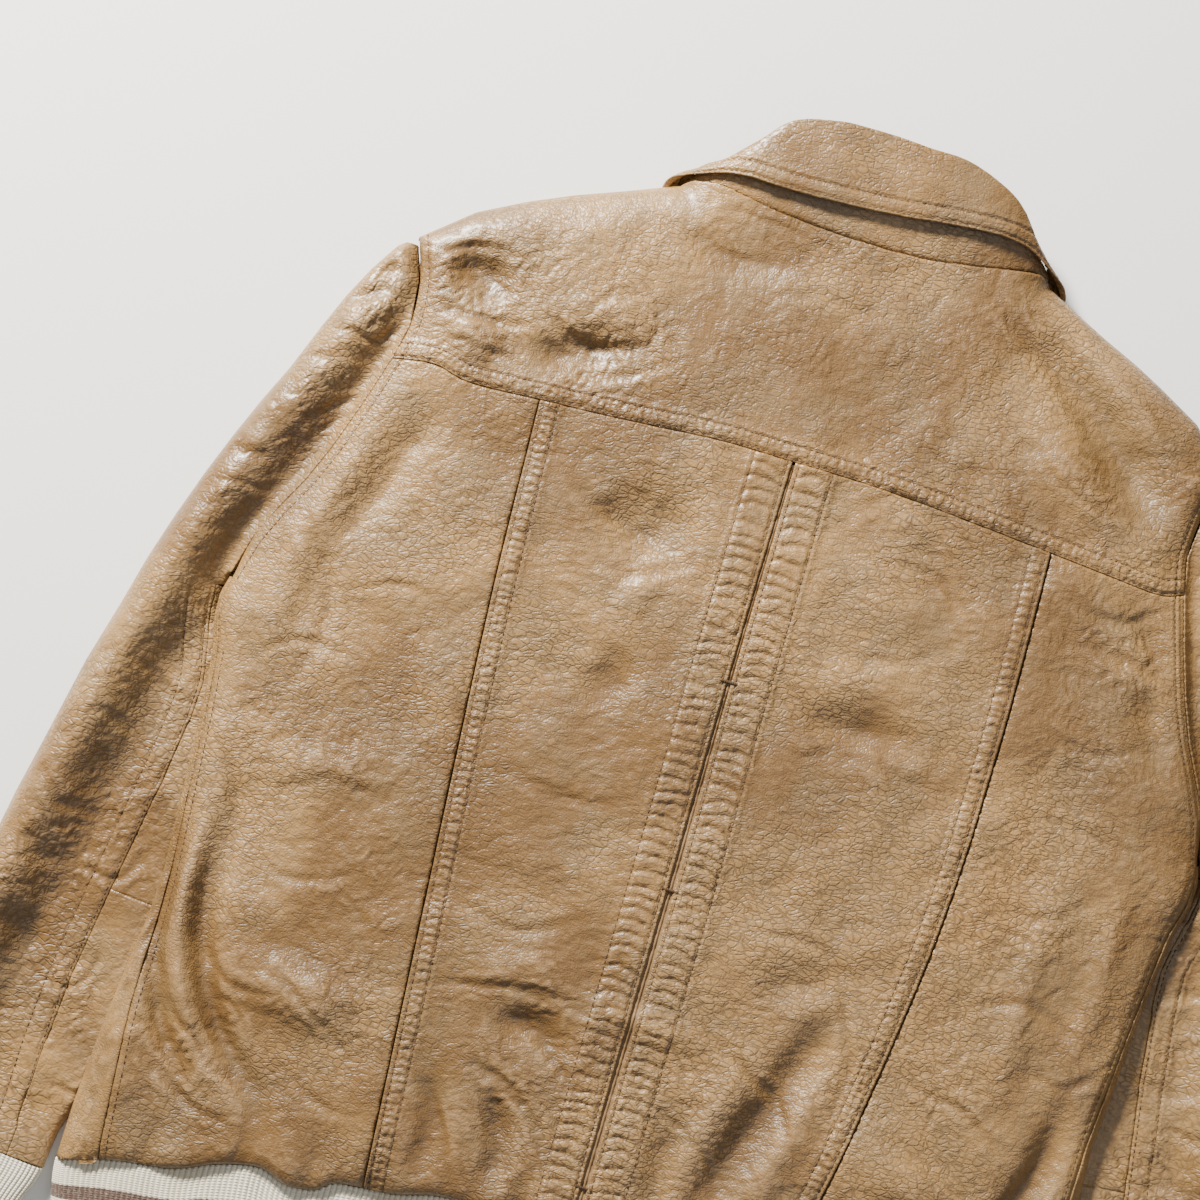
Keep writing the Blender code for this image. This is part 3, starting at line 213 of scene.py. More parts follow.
def nearest(lines, x, y):
    """Distance to the nearest of some lines, how far along it lies, and what that line carries there."""
    best = np.full(np.shape(x), np.inf)
    along = np.zeros(np.shape(x))
    carried = np.zeros(np.shape(x) + (lines[0].shape[1] - 2,))
    for line in lines:
        gone = 0.0
        for start, end in zip(line[:-1], line[1:]):
            run = end[:2] - start[:2]
            span = max(run @ run, 1e-9)
            share = np.clip(((x - start[0]) * run[0] + (y - start[1]) * run[1]) / span, 0, 1)
            away = np.hypot(x - start[0] - share * run[0], y - start[1] - share * run[1])
            closer = away < best
            best = np.where(closer, away, best)
            along = np.where(closer, gone + share * math.sqrt(span), along)
            if carried.shape[-1]:
                values = start[2:] + share[..., None] * (end[2:] - start[2:])
                carried = np.where(closer[..., None], values, carried)
            gone += math.sqrt(span)
    return best, along, carried


def swell(x, y, size, seed):
    """Smooth random relief from about -1 to 1, whose swells lie about size apart."""
    angles = np.random.default_rng(seed).uniform(0, 2 * math.pi, (97, 97))
    u, v = x / size, y / size
    i, j = np.floor(u).astype(int), np.floor(v).astype(int)
    a, b = u - i, v - j
    total = 0
    for k in (0, 1):
        for m in (0, 1):
            angle = angles[(i + k) % 97, (j + m) % 97]
            slope = np.cos(angle) * (a - k) + np.sin(angle) * (b - m)
            total = total + slope * smooth(1 - abs(a - k)) * smooth(1 - abs(b - m))
    return 1.5 * total


def wrinkles(x, y, size, turn, seed):
    """Soft pads from 0 down to -1 in the valleys between them, drawn out along the turn in degrees."""
    c, s = math.cos(math.radians(turn)), math.sin(math.radians(turn))
    u, v = (x * c + y * s) / 3.0, y * c - x * s
    u = u + size * 0.7 * swell(x, y, size * 2.2, seed + 7)
    v = v + size * 0.9 * swell(x, y, size * 1.7, seed + 9)
    first = np.exp(-((swell(u, v, size, seed) / 0.16) ** 2))
    second = np.exp(-((swell(u, v, size * 0.55, seed + 1) / 0.2) ** 2))
    return -0.68 * first - 0.32 * second


def folds(lines, x, y, crease=False):
    """Sum of soft ridges and troughs; a crease fades at its ends and has a low lip on both sides."""
    total = np.zeros(np.shape(x))
    for height, width, points in lines:
        line = Line(points, parts=5)
        width = width * (0.62 if crease else 1)
        reach = 3.6 * width
        low, high = line.dense.min(axis=0) - reach, line.dense.max(axis=0) + reach
        near = (x > low[0]) & (x < high[0]) & (y > low[1]) & (y < high[1])
        if not near.any():
            continue
        away, along, _ = nearest([line.dense], x[near], y[near])
        if crease:
            fade = np.sin(math.pi * np.clip(along / line.length, 0.02, 0.98)) ** 0.7
            total[near] += 0.7 * height * fade * (0.4 * np.exp(-(((away - 1.9 * width) / width) ** 2))
                                                  - np.exp(-((away / width) ** 2)))
        else:
            from_end = np.minimum(along, line.length - along)
            fade = 0.15 + 0.85 * smooth(from_end / (0.34 * line.length + 3))
            total[near] += 1.25 * height * fade * np.exp(-((away / width) ** 2))
    return total


def wrinkled(places, x, y, seed):
    """Fine wrinkles all over, low between the listed places and higher in them."""
    total = 0.5 * wrinkles(x, y, 9, 25, seed) + 0.4 * wrinkles(x, y, 5, -50, seed + 3)
    for number, (px, py, reach, height, size, turn) in enumerate(places):
        away = np.hypot(x - px, y - py)
        near = away < 2.3 * reach
        if near.any():
            strength = 1.5 * height * np.exp(-((away[near] / reach) ** 2))
            total[near] += strength * wrinkles(x[near], y[near], size, turn, seed + 20 + 3 * number)
    return total


OUTLINES = [np.array(points, dtype=float) for points in (
    SHOULDER_LEFT, ARMHOLE_LEFT, SIDE_LEFT, SHOULDER_RIGHT, flipped(ARMHOLE_LEFT), flipped(SIDE_LEFT))]
HEM_LINE = Line(HEM, by="width")
YOKE_LINE = Line(YOKE_SEAM, by="width")


def back_lie(x, y):
    """Height of the back's outer face above the floor, without the relief of its seams."""
    crown = 24 + 2.5 * np.cos(np.clip(x / 290, -1, 1) * math.pi / 2)
    gathers = sum(np.exp(-(((x - place) / 7) ** 2)) for place in HEM_GATHERS)
    above_hem = y - HEM_LINE.y_at(x)
    crown = crown + folds(BACK_FOLDS, x, y) - 3.2 * gathers * (1 - smooth(above_hem / 42))
    away, _, carried = nearest(OUTLINES, x, y)
    wobble_x, wobble_y = x + 3 * swell(x, y, 26, 5), y + 3 * swell(x, y, 24, 6)
    small = folds(BACK_CREASES, wobble_x, wobble_y, crease=True) + wrinkled(BACK_WRINKLES, x, y, 100)
    small = small + 2.0 * swell(x, y, 42, 11) + 0.4 * swell(x, y, 17, 12)
    crown = crown + small * smooth(away / 4.5)
    rim, roundness = carried[..., 0], carried[..., 2]
    reach = np.where(y > 55, 28, np.where(y > -120, 19, 22))
    share = np.clip(away / reach, 0, 1)
    lie = rim + (crown - rim) * (1 - (1 - share) ** 2) ** roundness
    hem_rim = np.minimum(HEM_RIM, lie)
    return hem_rim + (lie - hem_rim) * quarter_round(above_hem / 13)


def band(away, along, width, rows, pads, seed, rise=0.8, pad=0.35):
    """Relief of a stitched seam band: raised, drawn in at its rows and puckered between them."""
    lift = rise * (1 - smooth((away - width) / 2.2)) - 0.9 * np.clip(1 - away / 1.3, 0, 1) ** 2
    drawn = sum(np.exp(-(((away - row) / 0.95) ** 2)) for row in rows)
    low, high = rows[0], rows[-1]
    bow = 0.28 * (1 - ((away - (low + high) / 2) / (high - low)) ** 2 * 4)
    jitter = 0.5 * swell(along, away * 0.6, 2.2 * pads, seed) + 0.12 * swell(along, away, 4, seed + 1)
    waves = 1 - 0.85 * np.exp(-((np.sin(math.pi * (along / pads + jitter + bow)) / 0.42) ** 2))
    between = smooth((away - low) / 1.6) * smooth((high - away) / 1.6)
    beyond = np.exp(-np.clip(away - high, 0, None) / 4.5) * (away > high)
    return lift - 0.8 * drawn + pad * (waves - 0.6) * between + 0.4 * (waves - 0.8) * beyond


def plan(top, bottom, left, right, across, down):
    """Plan points of a panel between its four border lines, one row for each share of down."""
    u, v = np.array(across)[None, :, None], np.array(down)[:, None, None]
    upper, lower = top.at(across)[None, :, :2], bottom.at(across)[None, :, :2]
    near, far = left.at(down)[:, None, :2], right.at(down)[:, None, :2]
    ends = [line.at(np.array([0.0, 1.0]))[:, :2] for line in (top, bottom)]
    corners = ((1 - v) * ((1 - u) * ends[0][0] + u * ends[0][1])
               + v * ((1 - u) * ends[1][0] + u * ends[1][1]))
    return (1 - v) * upper + v * lower + (1 - u) * near + u * far - corners


def outward(points):
    """Unit normals of a grid of points."""
    across = np.gradient(points, axis=1)
    down = np.gradient(points, axis=0)
    normals = np.cross(down, across)
    return normals / np.maximum(np.linalg.norm(normals, axis=-1, keepdims=True), 1e-9)


def with_edges(points, normals, sides, depth=2.4):
    """Turns the cut edges of a panel under: t, b, l and r are its top, bottom, left and right."""
    steps = ((0.16, 0.4), (0.3, 1.1), (0.34, depth))
    for side in sides:
        if side in "lr":
            points, normals = points.swapaxes(0, 1), normals.swapaxes(0, 1)
        border, inner = (0, 2) if side in "tl" else (-1, -3)
        away = points[border] - points[inner]
        away = away / np.maximum(np.linalg.norm(away, axis=-1, keepdims=True), 1e-9)
        added = [points[border] + away * out - normals[border] * under for out, under in steps]
        held = [normals[border]] * len(steps)
        if border == 0:
            points, normals = np.stack(added[::-1] + list(points)), np.stack(held + list(normals))
        else:
            points, normals = np.stack(list(points) + added), np.stack(list(normals) + held)
        if side in "lr":
            points, normals = points.swapaxes(0, 1), normals.swapaxes(0, 1)
    return points


def placed(name, data):
    """A new object in the scene."""
    made = bpy.data.objects.new(name, data)
    bpy.context.scene.collection.objects.link(made)
    return made


def cloth(name, points, finish, up, closed=False, edges="", hollow=None, keep=None, marks=None, depth=2.4):
    """A mesh from a grid of points in millimetres; up says where its middle faces.

    keep masks the points that are used, and marks are more values that the mesh carries.
    """
    normals = outward(points)
    rows, columns = points.shape[:2]
    sign = 1 if np.sum(normals[rows // 2, columns // 2] * up) > 0 else -1
    points = with_edges(points, normals * sign, edges, depth)
    points[..., 2] = np.maximum(points[..., 2], 0)
    turned = tuple((3 * (one in edges), 3 * (other in edges)) for one, other in ("tb", "lr"))
    # hollow is the relief from which the hides paint shade and highlight.
    marks = dict(marks or {}, hollow=np.zeros((rows, columns)) if hollow is None else hollow)
    marks = {word: np.pad(values, turned, mode="edge") for word, values in marks.items()}
    rows, columns = points.shape[:2]
    index = np.arange(rows * columns).reshape(rows, columns)
    if closed:
        index = np.concatenate([index, index[:, :1]], axis=1)
    corners = (index[:-1, :-1], index[:-1, 1:], index[1:, 1:], index[1:, :-1])
    faces = np.stack(corners, axis=-1).reshape(-1, 4)
    if sign > 0:
        faces = faces[:, ::-1]
    used = np.arange(rows * columns)
    if keep is not None:
        kept = np.pad(keep, turned, mode="edge").ravel()
        faces = faces[kept[faces].all(axis=1)]
        used, faces = np.unique(faces, return_inverse=True)
        faces = faces.reshape(-1, 4)
    place = points.reshape(-1, 3)[used] + (0, YOKE_SEAM_IN_FRAME, 0)
    mesh = bpy.data.meshes.new(name)
    mesh.from_pydata((place * MM).tolist(), [], faces.tolist())
    mesh.shade_smooth()
    for word, values in marks.items():
        mesh.attributes.new(word, "FLOAT", "POINT").data.foreach_set("value", values.ravel()[used])
    mesh.materials.append(finish)
    return placed(name, mesh)


def fit(made, node):
    """Puts a finished sheet of cloth in the place of its solid."""
    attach(made, "root")
    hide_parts(node)


class Value:
    """An output in a material, with which arithmetic adds Math nodes."""

    def __init__(self, finish, socket):
        self.finish, self.socket = finish, socket

    def math(self, operation, first, second):
        return self.finish.node("Math", {"operation": operation}, {0: first, 1: second})

    def __add__(self, other):
        return self.math("ADD", self, other)

    def __sub__(self, other):
        return self.math("SUBTRACT", self, other)

    def __rsub__(self, other):
        return self.math("SUBTRACT", other, self)

    def __mul__(self, other):
        return self.math("MULTIPLY", self, other)

    def __pow__(self, other):
        return self.math("POWER", self, other)

    __radd__, __rmul__ = __add__, __mul__


class Finish:
    """A material in the making. node() adds any node, from its type, settings and socket values."""

    def __init__(self, name, **constants):
        self.material = bpy.data.materials.new(name)
        self.material.use_nodes = True
        self.tree = self.material.node_tree
        self.shader = self.tree.nodes["Principled BSDF"]
        for socket, value in constants.items():
            self.shader.inputs[socket.replace("_", " ")].default_value = value

    def feed(self, socket, value):
        if isinstance(value, Value):
            self.tree.links.new(value.socket, socket)
        else:
            socket.default_value = value

    def node(self, kind, settings=None, sockets=None, out=0):
        made = self.tree.nodes.new("ShaderNode" + kind)
        for key, value in (settings or {}).items():
            if key == "stops":
                ramp = made.color_ramp
                while len(ramp.elements) < len(value):
                    ramp.elements.new(0.5)
                for element, (position, shade) in zip(ramp.elements, value):
                    element.position = position
                    element.color = (*shade, 1) if isinstance(shade, tuple) else (shade, shade, shade, 1)
            else:
                setattr(made, key, value)
        for key, value in (sockets or {}).items():
            self.feed(made.inputs[key], value)
        return Value(self, made.outputs[out])

    def mix(self, share, first, second, blend="MIX"):
        """A colour between two colours."""
        colours = [tone if isinstance(tone, Value) else (*tone, 1) for tone in (first, second)]
        return self.node("Mix", {"data_type": "RGBA", "blend_type": blend},
                         {0: share, 6: colours[0], 7: colours[1]}, out=2)

    def step(self, value, start, end):
        """0 up to start, 1 from end."""
        return self.node("MapRange", {"interpolation_type": "SMOOTHSTEP"}, {0: value, 1: start, 2: end})

    def noise(self, where, per_metre, detail=2.0, rough=0.5, bend=0.0):
        return self.node("TexNoise", {"noise_dimensions": "3D"},
                         {"Vector": where, "Scale": per_metre, "Detail": detail, "Roughness": rough,
                          "Distortion": bend})

    def output(self, **values):
        for socket, value in values.items():
            self.feed(self.shader.inputs[socket.replace("_", " ")], value)
        return self.material


def tan_hide(name, grain_height, grain_size, cell_size, warm):
    """Aniline-dyed hide, worn soft: pebbled grain, painted highlight on raised parts, painted shade in
    hollows.
    """
    hide = Finish(name, Specular_IOR_Level=0.5, Coat_Roughness=0.22)
    where = hide.node("TexCoord", out=3)
    hollow = hide.node("Attribute", {"attribute_name": "hollow"}, out=2)
    cloudy = hide.noise(where, 9.0, 3.0, 0.55)
    blotch = hide.noise(where, 31.0, 3.0, 0.6, 0.4)
    bent = hide.node("VectorMath", {"operation": "MULTIPLY_ADD"},
                     {0: hide.node("TexNoise", {}, {"Vector": where, "Scale": 90.0, "Detail": 1.0}, out=1),
                      1: (0.006, 0.006, 0.004), 2: where})
    grain = hide.node("TexVoronoi", {}, {"Vector": bent, "Scale": 1000.0 / grain_size})
    drawn = hide.node("Mapping", {}, {"Vector": bent, "Rotation": (0, 0, -0.35), "Scale": (0.5, 1, 1)})
    cells = hide.node("TexVoronoi", {"feature": "DISTANCE_TO_EDGE"},
                      {"Vector": drawn, "Scale": 1000.0 / cell_size})
    crease = 1 - hide.step(cells, 0.0, 0.20)
    worn = hide.step(hide.noise(where, 17.0, 2.0), 0.36, 0.60)
    crease = crease * (0.35 + 0.65 * worn)
    tone = hide.mix(hide.step(cloudy, 0.42, 0.60), (0.150, 0.079, 0.025), (0.288, 0.166, 0.060))
    tone = hide.mix(hide.step(blotch, 0.42, 0.66) * 0.5, tone, (0.185, 0.120, 0.053))
    tone = hide.mix(hide.step(cloudy, 0.62, 0.80) * warm, tone, (0.340, 0.170, 0.045))
    # Painted shade: the hollow mark darkens the hide in the hollows of its relief.
    tone = hide.mix(hide.step(hollow, 0.2, 2.6) * 0.32, tone, (0.060, 0.030, 0.010))
    # Painted highlight: the same mark lightens the hide where it stands above its surroundings.
    tone = hide.mix(hide.step(0.0 - hollow, 0.1, 1.8) * 0.35, tone, (0.400, 0.250, 0.120))
    tone = hide.mix(crease * 0.55, tone, (0.075, 0.042, 0.016))
    rough = 0.29 + 0.16 * blotch + 0.16 * crease
    height = (1 - grain) * grain_height - crease * (1.1 * grain_height)
    bump = hide.node("Bump", {}, {"Height": height, "Distance": 1.0, "Strength": 1.0})
    return hide.output(Base_Color=tone, Roughness=rough, Normal=bump, Coat_Weight=0.18)


BODY_HIDE = tan_hide("worn tan hide", 0.00020, 1.1, 2.6, 0.35)


# The relief from which the hides paint shade into hollows and highlight onto raised parts.
def relief_of(height):
    """How far each point lies below its surroundings (above 0) or above them, in rising millimetres."""
    deep = np.zeros(height.shape)
    for reach, weight in ((2, 2.2), (6, 0.8)):
        around = sum(np.roll(height, shift, axis=axis) for shift in (-reach, reach) for axis in (0, 1))
        part = weight * (around / 4 - height)
        part[:reach], part[-reach:], part[:, :reach], part[:, -reach:] = 0, 0, 0, 0
        deep += part
    return deep


def on_plan(flat, height):
    return np.concatenate([flat, height[..., None]], axis=-1)


def armhole_band(x, y):
    """The narrow band that the armhole's stitching makes on the body."""
    lines = [np.array([place[:2] for place in side], dtype=float)
             for side in (ARMHOLE_LEFT, flipped(ARMHOLE_LEFT))]
    away, along, _ = nearest(lines, x, y)
    return band(away, along, 5.5, (1.6, 5.0), 3.6, 40, rise=0.4, pad=0.25) * smooth((y + 150) / 20)


yoke_top = Line([point[:2] for point in SHOULDER_LEFT[::-1] + NECK_BACK[1:-1] + SHOULDER_RIGHT],
                by="width", straight=True)
yoke_sides = [Line([point[:2] for point in side[:4]]) for side in (ARMHOLE_LEFT, flipped(ARMHOLE_LEFT))]
yoke_down = np.concatenate([np.linspace(0, 0.04, 6), np.linspace(0.055, 0.9, 62), np.linspace(0.91, 1, 14)])
yoke_plan = plan(yoke_top, YOKE_LINE, *yoke_sides, np.linspace(0, 1, 430), yoke_down)
yoke_widest = np.interp(-yoke_plan[..., 1], *zip(*YOKE_REACH))
yoke_plan[..., 0] = np.clip(yoke_plan[..., 0], -yoke_widest, yoke_widest)
yoke_x, yoke_y = yoke_plan[..., 0], yoke_plan[..., 1]
seam_away, seam_along, _ = nearest([YOKE_LINE.dense], yoke_x, yoke_y)
yoke_height = back_lie(yoke_x, yoke_y) + armhole_band(yoke_x, yoke_y) \
    + band(seam_away, seam_along, YOKE_BAND + 0.8, YOKE_ROWS, 4.3, 50, pad=0.7)
back_yoke = cloth("back_yoke_hide", on_plan(yoke_plan, yoke_height), BODY_HIDE, (0, 0, 1), edges="tblr",
                  hollow=relief_of(yoke_height))
fit(back_yoke, "back_yoke")


# Centre back panels. Two pieces of the same hide between the princess seams and the slit. The slit
# edges are turned under with two rows each, and puff up between them; so does the princess band.
PRINCESS_LEFT = ((-141, -7), (-136, -110), (-128, -217), (-119, -330), (-110, -450))
PRINCESS_RIGHT = ((148, -7), (151, -100), (150, -202), (142, -290), (131, -366), (116, -450))
SLIT = ((0.5, 0), (1, -120), (3, -250), (4.5, -440))
SLIT_HALVES = (0.6, 0.9, 1.7, 1.7)
CENTRE_BAND = 22.8
PRINCESS_BAND = 11.8
SLIT_ROWS = (2.6, 21.4)
PRINCESS_ROWS = (2.8, 11.0)


def seam_border(points, ends_x):
    """A seam line whose ends lie on the yoke seam and on the hem."""
    return Line([(ends_x[0], YOKE_LINE.y_at(ends_x[0]))] + list(points[1:-1])
                + [(ends_x[1], HEM_LINE.y_at(ends_x[1]))])


for side, word, princess in ((-1, "left", PRINCESS_LEFT), (1, "right", PRINCESS_RIGHT)):
    slit_edge = [(x + side * half, y) for (x, y), half in zip(SLIT, SLIT_HALVES)]
    inner = seam_border(slit_edge, (slit_edge[0][0], slit_edge[-1][0]))
    outer = seam_border(princess, (princess[0][0], princess[-1][0]))
    upper = Line([(x, YOKE_LINE.y_at(x) - 0.4) for x in np.linspace(slit_edge[0][0], princess[0][0], 12)])
    lower = Line([(x, HEM_LINE.y_at(x) + 0.6) for x in np.linspace(slit_edge[-1][0], princess[-1][0], 24)])
    across = np.concatenate([np.linspace(0.002, 0.17, 21), np.linspace(0.185, 0.9, 46),
                             np.linspace(0.908, 0.998, 12)])
    flat = plan(upper, lower, inner, outer, across, np.linspace(0.001, 0.999, 400))
    x, y = flat[..., 0], flat[..., 1]
    slit_away, slit_along, _ = nearest([inner.dense], x, y)
    princess_away, princess_along, _ = nearest([outer.dense], x, y)
    height = back_lie(x, y) \
        + band(slit_away, slit_along, CENTRE_BAND, SLIT_ROWS, 7.6, 60 + side, pad=1.35) \
        + band(princess_away, princess_along, PRINCESS_BAND, PRINCESS_ROWS, 4.8, 70 + side, pad=1.15)
    hide = cloth("back_centre_hide_" + word, on_plan(flat, height), BODY_HIDE, (0, 0, 1), edges="tblr",
                 hollow=relief_of(height))
    fit(hide, "back_centre_" + word)


# Side back panels, from the princess seams out to the armholes and the side seams, in the same hide.
# Their princess edges lie under the centre panels' bands, and the long folds of wear run down them.
SIDE_SEAM_LEFT = ((-273, -145.5), (-275, -157), (-274, -170), (-269.5, -188), (-266.5, -215), (-264, -245),
                  (-261.5, -280), (-259.5, -310), (-259, -335), (-259, -383), (-256, -420), (-253.5, -455),
                  (-252, -470))
SIDE_SEAM_FOOT = 252
for side, word, princess in ((-1, "left", PRINCESS_LEFT), (1, "right", PRINCESS_RIGHT)):
    arm = [(-side * px, py) for px, py, *_ in ARMHOLE_LEFT[3:-1]] + [(side * 273, -145)]
    seam = [(-side * px, py) for px, py in SIDE_SEAM_LEFT[1:-1]]
    seam.append((side * SIDE_SEAM_FOOT, HEM_LINE.y_at(side * SIDE_SEAM_FOOT)))
    inner = seam_border(princess, (princess[0][0], princess[-1][0]))
    upper = Line([(x, YOKE_LINE.y_at(x) - 0.4) for x in np.linspace(princess[0][0], side * 223.8, 10)])
    lower = Line([(x, HEM_LINE.y_at(x) + 0.6)
                  for x in np.linspace(princess[-1][0], side * SIDE_SEAM_FOOT, 24)])
    flat = plan(upper, lower, inner, Line(arm + seam),
                np.linspace(0.003, 1, 104), np.linspace(0.001, 0.999, 316))
    x, y = flat[..., 0], flat[..., 1]
    princess_away, princess_along, _ = nearest([inner.dense], x, y)
    seam_away, seam_along, _ = nearest([Line(seam).dense], x, y)
    height = back_lie(x, y) + armhole_band(x, y) - 0.9 * np.exp(-princess_away / 1.6) \
        + band(seam_away, seam_along, 4.0, (1.2, 3.6), 3.8, 80 + side, rise=0.3, pad=0.2) \
        + 0.25 * np.exp(-princess_away / 6) * np.sin(princess_along * 2 * math.pi / 4.6
                                                    + 3 * swell(princess_along, x, 18, 81))
    hide = cloth("back_side_hide_" + word, on_plan(flat, height), BODY_HIDE, (0, 0, 1), edges="tblr",
                 hollow=relief_of(height))
    fit(hide, "back_side_" + word)


# Underlay strip of darker hide, sewn under the centre slit so that it shows between the slit's edges.
SHADOWED_BY_PANELS = 0.9
UNDERLAY_HALF = 7
underlay_rows = np.linspace(0.004, 0.985, 240)
underlay_offsets = np.linspace(-UNDERLAY_HALF, UNDERLAY_HALF, 29)
underlay_plan = Line(SLIT).at(underlay_rows)[:, None] + np.array([(offset, 0) for offset in underlay_offsets])
underlay_x, underlay_y = underlay_plan[..., 0], underlay_plan[..., 1]
underlay_height = back_lie(underlay_x, underlay_y) - SHADOWED_BY_PANELS \
    + 0.5 * np.cos(2.9 * underlay_offsets) + 0.3 * swell(underlay_x, underlay_y, 7, 90)
DARK_HIDE = Finish("brown underlay hide", Specular_IOR_Level=0.45)
dark_where = DARK_HIDE.node("TexCoord", out=3)
dark_cloud = DARK_HIDE.noise(dark_where, 60.0, 4.0, 0.6)
dark_grain = DARK_HIDE.node("TexVoronoi", {"feature": "SMOOTH_F1"}, {"Vector": dark_where, "Scale": 900.0})
DARK_HIDE.output(
    Base_Color=DARK_HIDE.mix(dark_cloud, (0.110, 0.060, 0.023), (0.240, 0.145, 0.064)),
    Roughness=0.45 + 0.2 * dark_cloud,
    Normal=DARK_HIDE.node("Bump", {}, {"Height": (1 - dark_grain) * 0.00012, "Distance": 1.0}))
strip = cloth("centre_underlay", on_plan(underlay_plan, underlay_height), DARK_HIDE.material, (0, 0, 1))
fit(strip, "centre_strip")


# Sleeves. Each has an upper piece, which folds round the outer edge of the arm, and two under pieces
# that lie half hidden under the body. Their grain is pebblier and they are creased at the armhole.
SIDE_GAP = 0.6
SLEEVE_OUTER = ((-230, 60), (-240, 52), (-250, 36), (-259, 18), (-268, -4), (-277, -28), (-287, -50),
                (-296, -72), (-305, -96), (-314, -123), (-322, -150), (-329, -179), (-338, -213),
                (-347, -258), (-354, -292), (-362, -340), (-371, -400), (-381, -474))
SLEEVE_INNER = ((-275, -145), (-276.5, -158), (-272, -178), (-261, -202), (-252, -230), (-250, -275),
                (-256, -328), (-262, -378), (-266, -419), (-273, -448), (-279, -465), (-281, -486))
SLEEVE_BACK_SEAM = ((-281, -150), (-281, -165), (-278, -185), (-274, -205), (-275, -230), (-279, -262),
                    (-289, -328), (-296, -378), (-299, -419), (-300, -464), (-301, -484))
SLEEVE_FRONT_SEAM = ((-281, -150), (-280, -165), (-275, -185), (-269, -205), (-266, -250), (-270, -328),
                     (-276, -378), (-283, -440), (-292, -485))
PIECING_SEAM_LEVEL = -328
SLEEVE_HEAD = 60
UNDERARM_LEVEL = -145
OUTER_RUN, MIDDLE_RUN, INNER_RUN = 534, 540, 546
SLEEVE_RIM, SLEEVE_CREST, WRIST_HALF = 9, 27, 7.5
SLEEVE_ROWS = (1.8, 12.2)
SLEEVE_FOLDS = (
    (-4, 6, ((-252, 34), (-238, 37), (-226, 42))), (-3.5, 6, ((-262, 14), (-244, 22), (-228, 34))),
    (-1.6, 4, ((-300, -80), (-280, -79), (-266, -76))),
    (-2.2, 7, ((-352, -306), (-334, -318), (-318, -330))),
    (-2.5, 9, ((-346, -350), (-330, -362), (-318, -380))),
    (-2.5, 7, ((-372, -440), (-345, -446), (-318, -440))),
)
SLEEVE_CREASES = (
    (1.6, 4, ((-260, -3), (-238, -2), (-218, 15))), (1.6, 4, ((-262, -55), (-244, -38), (-216, -30))),
    (1.4, 4, ((-280, -128), (-256, -132), (-247, -107))),
    (1.2, 4, ((-289, -164), (-264, -180), (-257, -155))),
    (1.0, 5, ((-316, -195), (-286, -220), (-268, -215))),
    (1.0, 5, ((-321, -253), (-293, -273), (-266, -248))),
    (1.4, 4, ((-318, -320), (-289, -323), (-273, -301))),
    (1.5, 4, ((-315, -387), (-293, -386), (-282, -366))),
    (1.5, 4, ((-293, -442), (-270, -441), (-253, -425))),
    (1.3, 4, ((-300, -30), (-272, -22), (-240, -14))), (1.2, 4, ((-306, -104), (-282, -96), (-256, -92))),
    (1.0, 4, ((-330, -240), (-318, -236), (-298, -246))),
    (1.2, 5, ((-344, -275), (-324, -290), (-300, -292))),
    (1.1, 4, ((-362, -402), (-336, -410), (-310, -404))),
)
SLEEVE_WRINKLES = (
    (-240, 20, 26, 0.8, 5, 20), (-240, -71, 32, 0.7, 5, 40), (-253, -142, 27, 0.8, 5, 10),
    (-270, -30, 30, 0.5, 6, 20), (-296, -110, 32, 0.4, 6, 0), (-290, -200, 34, 0.5, 6, -10),
    (-320, -220, 34, 0.3, 7, 60), (-300, -300, 32, 0.7, 5, 20), (-336, -330, 32, 0.7, 6, -20),
    (-296, -395, 34, 0.7, 5, 10), (-345, -420, 36, 0.6, 6, 0),
)
SLEEVE_HIDE = tan_hide("pebbled tan hide of the sleeves", 0.00020, 1.6, 3.0, 0.2)
SIDE_EDGE = np.array([place[:2] for place in SIDE_LEFT], dtype=float)


def front_lie(x, y):
    """Height of the fronts' outer face, which lies on the floor but over the collar and the sleeves."""
    tuck = 8 * smooth((abs(x) - 200) / 30) * smooth((-y - 95) / 35) * smooth((y + 474) / 34)
    leaf = 2.1 * smooth((y + 8) / 16) * smooth((136 - abs(x)) / 20)
    lie = np.maximum(tuck, leaf)
    away, _, carried = nearest(OUTLINES, x, y)
    rim = carried[..., 1]
    share = np.clip(away / 12, 0, 1)
    return rim + (lie - rim) * (1 - (1 - share) ** 2) ** np.minimum(carried[..., 2], 1)


def x_of(points, level):
    """Where a line of the left sleeve lies at each level down the arm."""
    knots = np.array([place[:2] for place in points], dtype=float)
    return np.interp(-level, -knots[:, 1], knots[:, 0])


